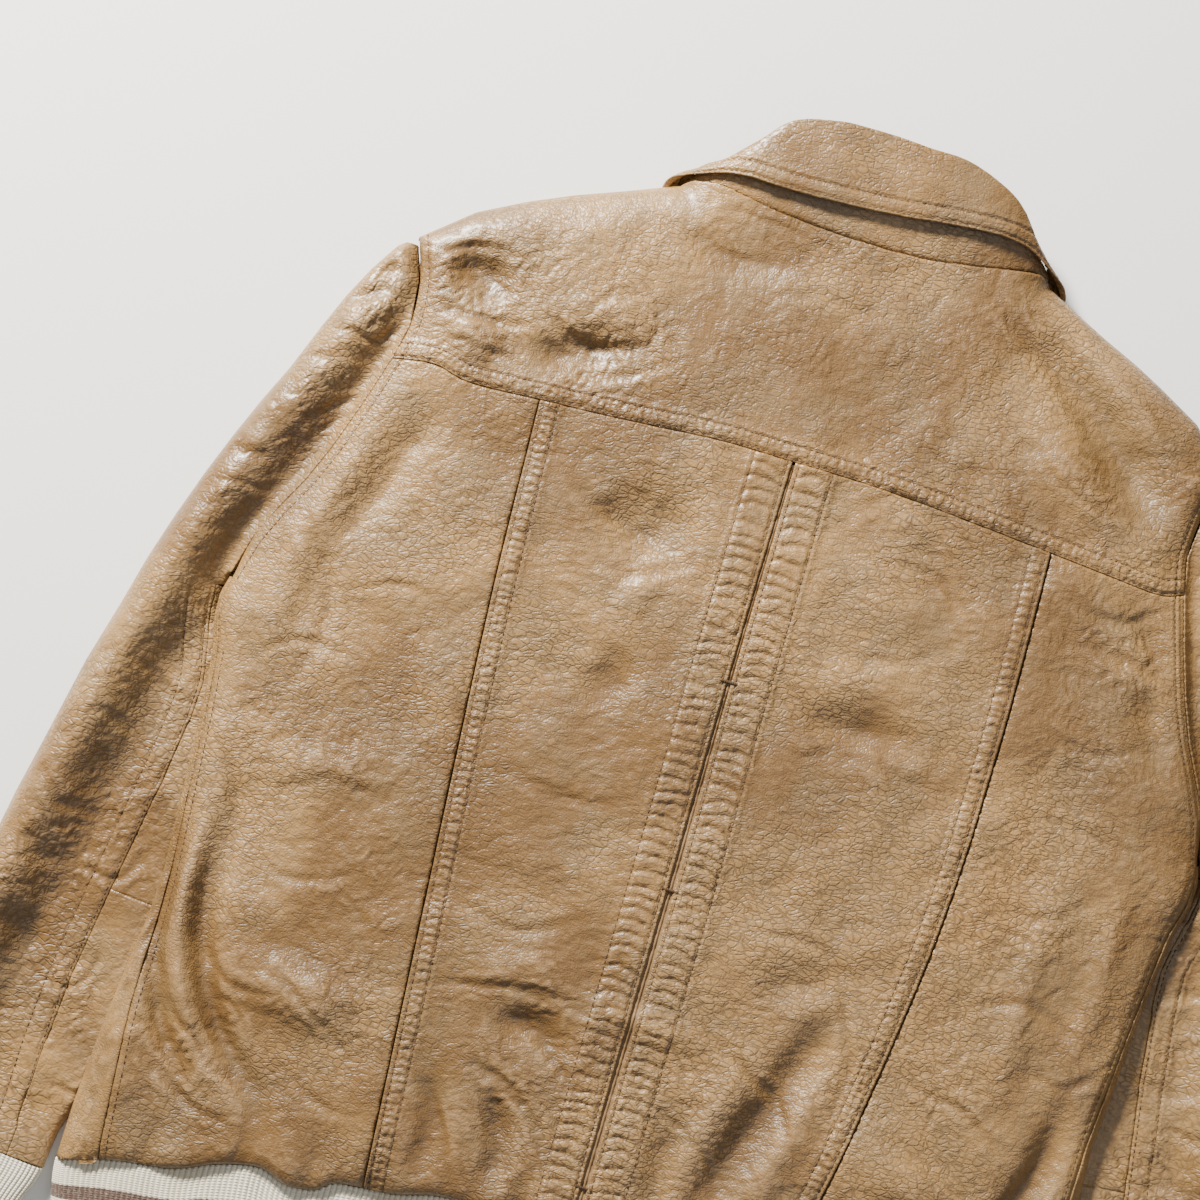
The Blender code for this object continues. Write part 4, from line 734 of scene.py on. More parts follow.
def sleeve_face(shares, down, lower, seed, seam_side):
    """Points of the left sleeve; shares has one row for each level, counted from the outer edge."""
    outer_level, inner_level = SLEEVE_HEAD - down * OUTER_RUN, SLEEVE_HEAD - down * INNER_RUN
    left = x_of(SLEEVE_OUTER, outer_level)[:, None]
    right = x_of(ARMHOLE_LEFT[:-1] + SLEEVE_INNER, inner_level)[:, None]
    right = right - SIDE_GAP * (inner_level > UNDERARM_LEVEL - 1)[:, None]
    x = left + (right - left) * shares
    y = outer_level[:, None] + (inner_level - outer_level)[:, None] * shares
    down = down[:, None]
    arm = np.array(ARMHOLE_LEFT, dtype=float) - (SIDE_GAP, 0, 0, 0, 0)
    from_outer, _, _ = nearest([np.array(SLEEVE_OUTER, dtype=float)], x, y)
    from_inner, _, _ = nearest([np.array(SLEEVE_INNER, dtype=float)], x, y)
    from_arm, arm_along, carried = nearest([arm], x, y)
    from_seam, seam_along, _ = nearest([np.array(SLEEVE_BACK_SEAM, dtype=float)], x, y)
    inside, _, _ = nearest([SIDE_EDGE], x, y)
    wobble_x, wobble_y = x + 3 * swell(x, y, 22, seed + 5), y + 3 * swell(x, y, 20, seed + 6)
    small = folds(SLEEVE_CREASES, wobble_x, wobble_y, crease=True) + wrinkled(SLEEVE_WRINKLES, x, y, seed) \
        + 1.4 * swell(x, y, 32, seed + 1) + 0.5 * swell(x, y, 14, seed + 2)
    small = small + 0.7 * np.sin(x / 2.3 + 2 * swell(x, y, 14, seed + 3)) * smooth((down - 0.93) / 0.05)
    small = small * smooth(from_outer / 9) * smooth((1.01 - down) / 0.03)
    crest = SLEEVE_CREST - 5 * smooth((down - 0.7) / 0.3)
    top = SLEEVE_RIM + (crest - SLEEVE_RIM) * quarter_round(from_outer / 16)
    slope = 34 + 7 * swell(x, y, 60, seed + 7)
    top = top - (crest - 10.5) * smooth((from_outer - 15) / slope)
    top = top + folds(SLEEVE_FOLDS, x, y) * smooth(from_outer / 8) + small
    seam = band(from_seam, seam_along, 13, SLEEVE_ROWS, 4.2, seed + 8, rise=0.5, pad=0.4)
    top = top + (seam if seam_side > 0 else -0.5 * np.exp(-from_seam / 1.6)) * smooth((-y - 150) / 16)
    arm_rise = carried[..., 0] - 0.3
    top = arm_rise + (top - arm_rise) * (1 - (1 - np.clip(from_arm / 15, 0, 1)) ** 2) \
        + 0.4 * np.sin(arm_along * 1.7 + 2 * swell(x, y, 9, seed + 4)) \
        * np.exp(-from_arm / 4) * (y > UNDERARM_LEVEL)
    under = (y < UNDERARM_LEVEL) & (x > np.interp(-y, -SIDE_EDGE[:, 1], SIDE_EDGE[:, 0]))
    room = np.where(under, front_lie(x, y) - 0.7, 11.4 + 0.9 * inside)
    top = np.where(y < UNDERARM_LEVEL, np.minimum(top, room), top)
    from_underarm = np.hypot(x - ARMHOLE_LEFT[-1][0], y - ARMHOLE_LEFT[-1][1])
    tip = 3.6 + 5.9 * (1 - smooth(from_underarm / 22))
    closed = smooth((UNDERARM_LEVEL - y) / 3)
    top = top + (tip - top) * closed * (1 - quarter_round(from_inner / 6))
    base = SLEEVE_RIM * (1 - quarter_round(from_outer / 9)) + 0.6 * np.maximum(-small, 0)
    base = base + tip * closed * (1 - quarter_round(from_inner / 4.5))
    near_arm = (1 - np.clip(from_arm / 14, 0, 1)) ** 2
    base = base + np.maximum(carried[..., 1] - 0.3 - base, 0) * near_arm * (1 - closed)
    oval = np.sqrt(np.maximum(1 - abs(2 * shares - 1) ** 3, 0))
    end = smooth((down - 0.94) / 0.06)
    if lower:
        surface = base + (WRIST_HALF - WRIST_HALF * oval - base) * end
    else:
        surface = top + (WRIST_HALF + WRIST_HALF * oval - top) * end
    return np.stack([x, y, surface], axis=-1)


def seam_share(line, down):
    """Where a sleeve seam lies between the outer and the inner edge, at each level."""
    level = SLEEVE_HEAD - down * MIDDLE_RUN
    outer, inner = x_of(SLEEVE_OUTER, level), x_of(SLEEVE_INNER, level)
    return np.clip((x_of(line, level) - outer) / (inner - outer), 0.5, 0.985)


UNDERARM = (SLEEVE_HEAD - UNDERARM_LEVEL) / INNER_RUN
for side, word in ((-1, "left"), (1, "right")):
    turned = np.array([-side, 1, 1])
    down = np.concatenate([np.linspace(0.009, UNDERARM, 140), np.linspace(UNDERARM + 0.002, 1, 220)])
    open_rows, split_rows = down <= UNDERARM + 1e-6, down > UNDERARM + 0.016
    back, front = seam_share(SLEEVE_BACK_SEAM, down), seam_share(SLEEVE_FRONT_SEAM, down)
    gap = 0.004 + 0.004 * np.exp(-np.maximum(down - UNDERARM, 0) / 0.04)
    back_end = np.where(open_rows, 1.0, np.where(split_rows, back - gap, 0.985))[:, None]
    front_end = np.where(open_rows, 1.0, np.where(split_rows, front - gap, 0.985))[:, None]
    over = sleeve_face(back_end * np.linspace(1, 0, 82) ** 1.3, down, False, 200 + side, 1)
    below = sleeve_face(front_end * np.linspace(0.12, 1, 22) ** 2, down, True, 230 + side, 1)
    face = np.concatenate([over, below], axis=1)
    # The painted shade and highlight from the relief are kept to the upper face of the sleeve.
    hide = cloth("sleeve_hide_" + word, face * turned, SLEEVE_HIDE, (0, 0, 1), edges="lr",
                 hollow=relief_of(face[..., 2]) * (np.arange(face.shape[1]) < 76))
    fit(hide, "sleeve_top_" + word)
    levels = down[split_rows]
    start, end = back[split_rows][:, None], front[split_rows][:, None]
    over = sleeve_face(start + (1 - start) * np.linspace(0, 1, 30), levels, False, 200 + side, -1)
    below = sleeve_face(1 + (end - 1) * np.linspace(0.06, 1, 14), levels, True, 230 + side, -1)
    under = np.concatenate([over, below], axis=1)
    split = int(np.argmin(abs(SLEEVE_HEAD - levels * MIDDLE_RUN - PIECING_SEAM_LEVEL)))
    pieces = {"upper": under[:split + 1], "lower": under[split:]}
    for part, (length, area) in {"upper": (0.18, 0.008), "lower": (0.16, 0.0085)}.items():
        hide = cloth("under_sleeve_hide_" + part + "_" + word, pieces[part] * turned, SLEEVE_HIDE, (0, 0, 1),
                     edges="lrb" if part == "upper" else "lrt",
                     hollow=relief_of(pieces[part][..., 2]))
        fit(hide, "sleeve_under_" + part + "_" + word)


# Collar. A stand rises from the neck seam and a two-layer leaf folds down over it. The leaf's free
# edge has two rows of stitching, and it curls a little away from the stand.
COLLAR = (
    ((-9, 63, 2.3), (-12, 88, 2.3), (-52, 18, 0)), ((-36, 70, 2.3), (-40, 95, 2.3), (-78, 52, 0)),
    ((-66, 84.5, 2.3), (-66, 105, 2.3), (-96, 86, 0)),
    ((-88, 103, 2.6), (-86, 118, 3.2), (-105, 106, 0.0)),
    ((-97.5, 118, 5), (-94, 128.5, 6), (-111, 122.5, 1.2)),
    ((-101, 128, 10), (-96.5, 135, 10.5), (-109, 129.5, 11)),
    ((-95, 131, 16.5), (-91, 140, 17), (-101.5, 133.2, 19.5)),
    ((-83, 132.5, 22.5), (-80.5, 146, 22.5), (-85, 138, 26.5)),
    ((-66, 130, 24.8), (-67.5, 158, 26), (-69, 140, 31)),
    ((-50, 127.3, 25.7), (-53, 173, 28.5), (-52, 139.5, 32.5)),
    ((-30, 125.6, 26.3), (-33, 179, 30), (-32, 139.5, 33)),
    ((-6, 124.3, 26.5), (-6, 181, 30.5), (-4, 141, 33.5)),
    ((18, 124.2, 26.4), (22, 180, 30.5), (20, 143, 33.5)),
    ((38, 125.2, 26), (45, 179, 30), (42, 146, 33)), ((58, 128, 25.5), (68, 171, 28.5), (62, 148, 32.5)),
    ((74, 131.3, 24.3), (80, 163, 26.5), (77, 148.3, 30.5)),
    ((90, 134.5, 21), (92, 150, 22.5), (92, 146, 26.5)),
    ((101, 135.5, 16), (100, 143, 16.5), (108, 138.5, 19.5)),
    ((108, 132, 10), (104, 139, 10.5), (116.5, 134, 11)),
    ((104.5, 121.5, 4.6), (101, 131.5, 5.2), (119, 126, 0.4)),
    ((94, 105, 2.5), (92, 121, 2.8), (112, 109, 0.0)), ((70, 86, 2.3), (70, 107, 2.3), (102, 88, 0)),
    ((38, 71, 2.3), (42, 97, 2.3), (82, 53, 0)), ((16, 65, 2.5), (18, 89, 2.5), (54, 20, 0)),
)
LEAF_ROWS = (1.9, 8.8)
neck_line, fold_line, rim_line = (
    Line([station[part] for station in COLLAR], by="points") for part in range(3))
stand_face, leaf_face = [], []
for share in np.linspace(0, 1, 340):
    seam, top, rim = neck_line.at(share), fold_line.at(share), rim_line.at(share)
    sideways = max(abs(top[0]) - 60, 0) / 40
    out = np.array([math.copysign(sideways**1.5, top[0]), 0, (top[2] - 13.5) / 9])
    out = out / np.linalg.norm(out)
    up = (top - seam) / np.linalg.norm(top - seam)
    lip = min(1, np.linalg.norm(rim - top) / 14)
    first = 0.4 * np.exp(-(((top[2] - 11) / 6) ** 2)) - 0.2 * lip
    over = top + out * 2.8 + up * lip * 0.6
    stand_face.append(Line([seam + up * 0.4, (seam + top) / 2 + out * 0.3, top - up * 0.6],
                           by="points").at(np.linspace(0, 1, 24)))
    leaf_bend = [top + up * (0.9 + lip) + out * first, top + up * (1.3 + 1.6 * lip) + out * 1.4, over,
                 over + (rim - over) * 0.35 + out * 0.5 * lip,
                 over + (rim - over) * 0.7 + out * 0.3 * lip, rim]
    leaf_face.append(Line(leaf_bend, by="points").at(np.linspace(0, 1, 60)))
stand_face, leaf_face = (np.array(face).swapaxes(0, 1) for face in (stand_face, leaf_face))


def worked(face, relief, up):
    """Moves the points of a face out along their normals by a relief."""
    normals = outward(face)
    if np.sum(normals[normals.shape[0] // 2, normals.shape[1] // 2] * up) < 0:
        normals = -normals
    moved = face + normals * relief[..., None]
    moved[..., 2] = np.maximum(moved[..., 2], 0)
    return moved


def lengths(face, axis):
    """How far each point of a grid lies along its row or column."""
    steps = np.linalg.norm(np.diff(face, axis=axis), axis=-1)
    start = np.zeros_like(np.take(steps, [0], axis=axis))
    return np.cumsum(np.concatenate([start, steps], axis=axis), axis=axis)


leaf_along = np.broadcast_to(lengths(leaf_face, 1)[-1:], leaf_face.shape[:2])
leaf_down = lengths(leaf_face, 0)
leaf_above = leaf_down[-1:] - leaf_down
leaf_relief = band(leaf_above, leaf_along, 10.5, LEAF_ROWS, 3.3, 300, rise=0.25, pad=0.35) \
    + 0.35 * wrinkles(leaf_along, leaf_above, 6, 60, 301) + 0.9 * swell(leaf_along, leaf_above, 24, 302)
leaf_relief = leaf_relief * smooth(leaf_down / 5) * smooth((leaf_face[..., 2] + 2) / 8)
leaf_face = worked(leaf_face, leaf_relief, (0, 0, 1))
leaf = cloth("collar_leaf_hide", leaf_face, BODY_HIDE, (0, 0, 1), edges="blr", depth=3.2,
             hollow=relief_of(leaf_relief))
fit(leaf, "collar_leaf")
stand_along = np.broadcast_to(lengths(stand_face, 1)[:1], stand_face.shape[:2])
stand_up = lengths(stand_face, 0)
stand_relief = 0.5 * wrinkles(stand_up, stand_along, 5, 10, 310) \
    + 0.4 * swell(stand_along, stand_up, 12, 311) \
    - 0.7 * np.exp(-stand_up / 1.4)
stand_face = worked(stand_face, stand_relief * smooth((stand_face[..., 2] - 1) / 6), (0, 0, 1))
stand = cloth("collar_stand_hide", stand_face, BODY_HIDE, (0, 0, 1), edges="tb",
              hollow=relief_of(stand_relief))
fit(stand, "collar_stand")


# Fronts. Each is one piece of hide from the placket round the side to the seam on the back. They face
# the floor; the left one laps over the right, with a row of stitching along its edge.
FRONT_HEM = ((276, -478), (215, -463), (120, -442), (0, -442))
FRONT_CREASES = tuple((depth, width, tuple((-px, py - 6) for px, py in line))
                      for depth, width, line in BACK_CREASES)
PLACKET_HALF = 15
PLACKET_FOOT = FRONT_HEM[-1][1]
for side, word, layer in ((-1, "left", 0), (1, "right", 1)):
    overlap = -side * (PLACKET_HALF - 1)
    stations = COLLAR[:5] if side < 0 else COLLAR[:18:-1]
    neck = [(station[0][0] + side * 0.3, station[0][1] - 0.5) for station in stations]
    shoulder = [place[:2] for place in (SHOULDER_LEFT if side < 0 else SHOULDER_RIGHT)]
    outline = [(-side * place[0], place[1]) for place in ARMHOLE_LEFT + SIDE_LEFT[1:]]
    upper = Line([(overlap, neck[0][1] - 0.4)] + neck + shoulder, straight=True)
    outer = Line(outline, straight=True)
    hem = Line([(overlap, PLACKET_FOOT)] + [(side * px, py) for px, py in FRONT_HEM[2::-1]], straight=True)
    inner = Line([(overlap, neck[0][1] - 0.4), (overlap, PLACKET_FOOT)], straight=True)
    down = np.linspace(0, 0.998, 200)
    flat = plan(upper, hem, inner, outer, 1 - (1 - np.linspace(0, 1, 100)) ** 1.5, down)
    x, y = flat[..., 0], flat[..., 1]
    lap = smooth((PLACKET_HALF + 6 - abs(x)) / 5)
    lie = np.maximum(front_lie(x, y), 1.1 * lap) + layer * 1.6 * lap
    away, _, _ = nearest(OUTLINES, x, y)
    dents = np.maximum(-folds(FRONT_CREASES, x, y, crease=True), 0) \
        - 0.5 * wrinkled(BACK_WRINKLES, -x, y, 400 + side)
    from_edge = abs(x - overlap)
    row = 0.5 * np.exp(-(((from_edge - 6) / 0.9) ** 2))
    lie = lie + (0.8 * dents * (1 - lap) + row) * smooth(away / 14) * smooth((y + 470) / 25)
    bottom = on_plan(flat, lie)
    wrap = []
    seam = [(-side * px, py) for px, py in SIDE_SEAM_LEFT[:-1]]
    seam.append((side * SIDE_SEAM_FOOT, HEM_LINE.y_at(side * SIDE_SEAM_FOOT)))
    edge_x, edge_y = bottom[:, -1, 0], bottom[:, -1, 1]
    seam_x = np.interp(-edge_y, [-py for _, py in seam], [px for px, _ in seam]) + side * SIDE_GAP
    for share in np.linspace(0.08, 1, 16) ** 1.4:
        wrap_x = edge_x + (seam_x - edge_x) * share
        wrap_y = np.maximum(edge_y, HEM_LINE.y_at(wrap_x) + 0.6)
        pucker = 1.3 * wrinkles(wrap_x, wrap_y, 7, 75, 420 + side) \
            + 1.1 * swell(wrap_x, wrap_y, 12, 421 + side)
        raised = back_lie(wrap_x, wrap_y) + pucker * math.sin(math.pi * min(share, 0.96))
        wrap.append(np.stack([wrap_x, wrap_y, raised], axis=-1))
    face = np.concatenate([bottom, np.stack(wrap, axis=1)], axis=1)
    keep = np.ones(face.shape[:2], dtype=bool)
    keep[:, bottom.shape[1]:] = (edge_y < UNDERARM_LEVEL)[:, None]
    # The fronts face the floor, so their painted shade and highlight are counted from below, and the wrap's
    # from above.
    hide = cloth("front_hide_" + word, face, BODY_HIDE, (0, 0, -1), edges="tblr", keep=keep,
                 hollow=relief_of(face[..., 2]) * np.where(np.arange(face.shape[1]) < bottom.shape[1], -1, 1))
    fit(hide, "front_" + word)


# Waistband. One strip of wool-and-cotton rib knit from placket to placket, in cream with two brown
# stripes knitted in. Its ribs run down, and it is gathered where the hide is sewn to it.
RIB_DEPTH = 65.0
RIB_PITCH = 2.9
RIB_LIE = 18.5
STRIPE_EDGES = (19, 29, 37, 47)
STRIPE_BLUR = 0.3


class Tree:
    """A Geometry Nodes tree in the making, with named inputs, run on one mesh after another."""

    def __init__(self, name, **inputs):
        self.tree = bpy.data.node_groups.new(name, "GeometryNodeTree")
        self.tree.interface.new_socket("Geometry", in_out="OUTPUT", socket_type="NodeSocketGeometry")
        self.tree.interface.new_socket("Geometry", in_out="INPUT", socket_type="NodeSocketGeometry")
        self.inputs = {}
        for word, kind in dict(inputs, Material="Material").items():
            self.inputs[word] = self.tree.interface.new_socket(word, in_out="INPUT",
                                                               socket_type="NodeSocket" + kind)
        self.start = self.tree.nodes.new("NodeGroupInput").outputs

    def node(self, kind, settings=None, sockets=None, out=0):
        made = self.tree.nodes.new(kind)
        for key, value in (settings or {}).items():
            setattr(made, key, value)
        for key, value in (sockets or {}).items():
            if isinstance(value, bpy.types.NodeSocket):
                self.tree.links.new(value, made.inputs[key])
            else:
                made.inputs[key].default_value = value
        return made.outputs[out]

    def math(self, operation, first, second=0.0):
        return self.node("ShaderNodeMath", {"operation": operation}, {0: first, 1: second})

    def close(self, shape):
        real = self.node("GeometryNodeRealizeInstances", sockets={0: shape})
        dressed = self.node("GeometryNodeSetMaterial",
                            sockets={"Geometry": real, "Material": self.start["Material"]})
        self.tree.links.new(dressed, self.tree.nodes.new("NodeGroupOutput").inputs[0])

    def grow(self, made, **values):
        """Runs the tree on an object and gives it the plain mesh that comes out."""
        modifier = made.modifiers.new("grow", "NODES")
        modifier.node_group = self.tree
        for word, value in values.items():
            modifier[self.inputs[word].identifier] = value
        bpy.context.view_layer.update()
        grown = bpy.data.meshes.new_from_object(made.evaluated_get(bpy.context.evaluated_depsgraph_get()))
        made.modifiers.remove(modifier)
        made.data = grown
        return made


rib_tree = Tree("knitted ribs", Pitch="Float", Height="Float")
rib_turn = rib_tree.math("DIVIDE", rib_tree.node("GeometryNodeInputNamedAttribute", {"data_type": "FLOAT"},
                                                 {"Name": "along"}), rib_tree.start["Pitch"])
rib_wave = rib_tree.math("ABSOLUTE", rib_tree.math("SINE", rib_tree.math("MULTIPLY", rib_turn, math.pi)))
rib_shape = rib_tree.math("SUBTRACT", rib_tree.math("POWER", rib_wave, 0.7), 1.0)
rib_lift = rib_tree.math("MULTIPLY", rib_shape, rib_tree.start["Height"])
rib_offset = rib_tree.node("ShaderNodeVectorMath", {"operation": "SCALE"},
                           {0: rib_tree.node("GeometryNodeInputNormal"), "Scale": rib_lift})
rib_tree.close(rib_tree.node("GeometryNodeSetPosition", sockets={"Geometry": rib_tree.start["Geometry"],
                                                                 "Offset": rib_offset}))


def knit(name, striped):
    """Rib knit in thick yarn: small loops up each rib, painted shade in the valleys, pilled and a little
    soiled.
    """
    yarn = Finish(name, Sheen_Weight=0.25, Sheen_Roughness=0.5, Specular_IOR_Level=0.25)
    where = yarn.node("TexCoord", out=3)
    along = yarn.node("Attribute", {"attribute_name": "along"}, out=2)
    drop = yarn.node("Attribute", {"attribute_name": "drop"}, out=2)
    pitch = yarn.node("Attribute", {"attribute_name": "pitch"}, out=2)
    turn = along.math("DIVIDE", along, pitch)
    wave = yarn.node("Math", {"operation": "ABSOLUTE"},
                     {0: yarn.node("Math", {"operation": "SINE"}, {0: turn * math.pi})})
    half = yarn.node("Math", {"operation": "SINE"}, {0: turn * (2 * math.pi)})
    loops = yarn.node("Math", {"operation": "SINE"}, {0: drop * 4.2 + 1.5 * wave})
    fluff = yarn.noise(where, 700.0, 4.0, 0.7)
    soil = yarn.noise(where, 24.0, 3.0, 0.6)
    tone = yarn.mix(yarn.step(soil, 0.35, 0.75), (0.800, 0.755, 0.620), (0.660, 0.595, 0.450))
    if striped:
        edge = drop + 0.9 * (yarn.noise(where, 330.0) - 0.5)
        upper, upper_end, lower, lower_end = (
            yarn.step(edge, place - STRIPE_BLUR, place + STRIPE_BLUR) for place in STRIPE_EDGES)
        brown = upper - upper_end + lower - lower_end
        tone = yarn.mix(brown, tone, (0.115, 0.072, 0.055))
    # Painted shade in the valleys between the ribs.
    tone = yarn.mix((1 - yarn.step(wave, 0.05, 0.7)) * 0.62, tone, (0.5, 0.42, 0.33), blend="MULTIPLY")
    tone = yarn.mix(yarn.step(fluff, 0.45, 0.8) * 0.25, tone, (0.75, 0.70, 0.60))
    height = (0.6 * loops * wave + 0.15 * half) * 0.00022 + 0.00022 * fluff
    bump = yarn.node("Bump", {}, {"Height": height, "Distance": 1.0})
    return yarn.output(Base_Color=tone, Roughness=0.86 + 0.1 * fluff, Normal=bump)


WAIST_KNIT = knit("striped rib knit", True)
half_front, side_turn = [(px, 0) for px in (-2, -40, -80, -120, -168, -215, -234, -252)], 5
rounds = [(-262 - 14 * math.sin(turn), 1 - math.cos(turn))
          for turn in np.linspace(0.5, math.pi - 0.5, side_turn)]
ring = half_front + rounds + [(px, 2) for px in np.linspace(-252, 252, 34)] \
    + [(-px, 2 - level) for px, level in rounds] + [(-px, level) for px, level in half_front[::-1]]
ring = Line([(px, level * RIB_LIE / 2) for px, level in ring], by="length")
ring_x, ring_z = ring.at(np.linspace(0, 1, 2150)).T
ring_along = ring.share.max() * np.linspace(0, ring.length, 2150)
FRONT_HEM_LINE = Line([(-px, py) for px, py in FRONT_HEM[:3]] + [(px, py) for px, py in FRONT_HEM[2::-1]],
                      by="width", straight=True)
depths = np.concatenate([[0.35, 1.2, 2.5], np.linspace(4, RIB_DEPTH - 2, 13),
                         [RIB_DEPTH - 0.8, RIB_DEPTH]])[:, None]
share = depths / RIB_DEPTH
level = ring_z / (RIB_LIE / 2)
hem_y = FRONT_HEM_LINE.y_at(ring_x) * (1 - level / 2) + HEM_LINE.y_at(ring_x) * level / 2
rib_y = hem_y * (1 - share) + (-450 - 10 * abs(ring_x) / 276) * share - depths
rib_x = ring_x * (1 - 0.03 * smooth(share))
on_top = smooth((level - 0.9) / 0.8)
waves = 0.9 * swell(rib_x, rib_y, 27, 500) + 0.9 * np.exp(-depths / 9) * swell(rib_x, rib_y * 0.4, 11, 501)
rib_z = ring_z + (waves - 0.9) * on_top + np.maximum(0.5 * swell(rib_x, rib_y, 22, 502), 0) * (1 - on_top)
rib_face = np.stack([rib_x, rib_y, np.maximum(rib_z, 0)], axis=-1)
rib_marks = {"along": np.broadcast_to(ring_along, rib_x.shape), "drop": np.broadcast_to(depths, rib_x.shape),
             "pitch": np.full(rib_x.shape, RIB_PITCH)}
waistband = cloth("waistband_rib", rib_face, WAIST_KNIT, (0, 0, 1), edges="tblr", marks=rib_marks, depth=2.6)
rib_tree.grow(waistband, Pitch=RIB_PITCH, Height=0.9 * MM, Material=WAIST_KNIT)
fit(waistband, "hem_rib")


# Cuffs. A tube of the same rib knit, plain cream, at each wrist, drawn in towards the hand.
CUFF_PITCH = 2.6
CUFF_DEPTH = 62
CUFF_KNIT = knit("plain rib knit", False)
cuff_start = np.array([SLEEVE_OUTER[-1], SLEEVE_INNER[-1]], dtype=float)
cuff_half = (cuff_start[1] - cuff_start[0]) / 2
for side, word in ((-1, "left"), (1, "right")):
    turn = np.linspace(0, 2 * math.pi, 480, endpoint=False)
    swing = np.sign(np.cos(turn)) * abs(np.cos(turn)) ** 0.8
    lift = np.sign(np.sin(turn)) * abs(np.sin(turn)) ** 0.62
    share = np.linspace(0.01, 1, 26)[:, None]
    width = 1 - 0.12 * smooth(share / 0.5)
    cuff_x = cuff_start[:, 0].mean() - 6 * share + cuff_half[0] * width * swing
    cuff_y = cuff_start[:, 1].mean() - CUFF_DEPTH * share + cuff_half[1] * width * swing
    cuff_z = WRIST_HALF * (1 + lift) + 0.4 * swell(cuff_x, cuff_y, 18, 520 + side) * smooth(lift)
    face = np.stack([cuff_x, cuff_y, cuff_z], axis=-1) * (-side, 1, 1)
    around = np.linalg.norm(np.diff(face[:1], axis=1, append=face[:1, :1]), axis=-1)
    rib_count = round(around.sum() / CUFF_PITCH)
    cuff_along = (np.cumsum(around) - around[0, 0]) / around.sum() * rib_count * CUFF_PITCH
    marks = {"along": np.broadcast_to(cuff_along, cuff_x.shape),
             "drop": np.broadcast_to(share * CUFF_DEPTH, cuff_x.shape),
             "pitch": np.full(cuff_x.shape, CUFF_PITCH)}
    cuff = cloth("cuff_rib_" + word, face, CUFF_KNIT, (side, 0, 0), closed=True, edges="b", marks=marks)
    rib_tree.grow(cuff, Pitch=CUFF_PITCH, Height=0.8 * MM, Material=CUFF_KNIT)
    fit(cuff, "cuff_" + word)


# Stitching. Brown waxed thread, lock-stitched in rows that sink into the hide. Each stitch is a small
# spindle between two needle holes, and bar tacks close the centre slit at three places.
thread = Finish("brown thread", Specular_IOR_Level=0.4)
thread_where = thread.node("TexCoord", out=3)
thread_twist = thread.node("TexWave", {}, {"Vector": thread_where, "Scale": 900.0, "Distortion": 2.0})
thread_age = thread.noise(thread_where, 55.0, 3.0, 0.6)
thread.output(Base_Color=thread.mix(thread_age, (0.030, 0.014, 0.006), (0.110, 0.060, 0.026)),
              Roughness=0.55 + 0.2 * thread_twist,
              Normal=thread.node("Bump", {}, {"Height": thread_twist * 0.00008, "Distance": 1.0}))
stitch_tree = Tree("row of stitches", Pitch="Float", Length="Float", Width="Float")
stitch_row = stitch_tree.node("GeometryNodeResampleCurve", {"mode": "LENGTH"},
                              {"Curve": stitch_tree.node("GeometryNodeMeshToCurve",
                                                         sockets={0: stitch_tree.start["Geometry"]}),
                               "Length": stitch_tree.start["Pitch"]})
stitch_up = stitch_tree.node("FunctionNodeAlignRotationToVector", {"axis": "Z"}, {
    "Vector": stitch_tree.node("GeometryNodeInputNamedAttribute",
                               {"data_type": "FLOAT_VECTOR"}, {"Name": "up"})})
stitch_turn = stitch_tree.node("FunctionNodeAlignRotationToVector", {"axis": "X", "pivot_axis": "Z"}, {
    "Rotation": stitch_up, "Vector": stitch_tree.node("GeometryNodeInputTangent")})
stitch_size = stitch_tree.node("ShaderNodeCombineXYZ", sockets={
    0: stitch_tree.start["Length"], 1: stitch_tree.start["Width"],
    2: stitch_tree.math("MULTIPLY", stitch_tree.start["Width"], 0.7)})
stitch_vary = stitch_tree.node("FunctionNodeRandomValue", {"data_type": "FLOAT"},
                               {2: 0.85, 3: 1.12, "Seed": 7}, out=1)
stitch_tree.close(stitch_tree.node("GeometryNodeInstanceOnPoints", sockets={
    "Points": stitch_row,
    "Instance": stitch_tree.node("GeometryNodeSetShadeSmooth", sockets={
        "Geometry": stitch_tree.node("GeometryNodeMeshUVSphere",
                                     sockets={"Segments": 6, "Rings": 4, "Radius": 0.5})}),
    "Rotation": stitch_turn,
    "Scale": stitch_tree.node("ShaderNodeVectorMath", {"operation": "SCALE"},
                              {0: stitch_size, "Scale": stitch_vary})}))
hides = {}


def landing(hide, x, y, down=True):
    """Place and normal of the hide straight below or above a plan point, in metres."""
    if hide not in hides:
        mesh = bpy.data.objects[hide].data
        hides[hide] = BVHTree.FromPolygons([point.co for point in mesh.vertices],
                                           [face.vertices for face in mesh.polygons])
    start = Vector((x * MM, (y + YOKE_SEAM_IN_FRAME) * MM, 0.06 if down else -0.02))
    place, normal, _, _ = hides[hide].ray_cast(start, Vector((0, 0, -1 if down else 1)))
    if place is None:
        return None
    return place, normal if (normal.z > 0) == down else -normal


def traced(hide, points, step=1.3, down=True):
    """A row of thread over the hide, along a plan line, in runs between the places that miss it."""
    line = Line(points)
    runs, run = [], []
    for x, y in line.at(np.linspace(0, 1, int(line.length / step) + 2)):
        found = landing(hide, x, y, down)
        if found:
            run.append(found)
        elif run:
            runs.append(run)
            run = []
    return [each for each in runs + [run] if len(each) > 2]


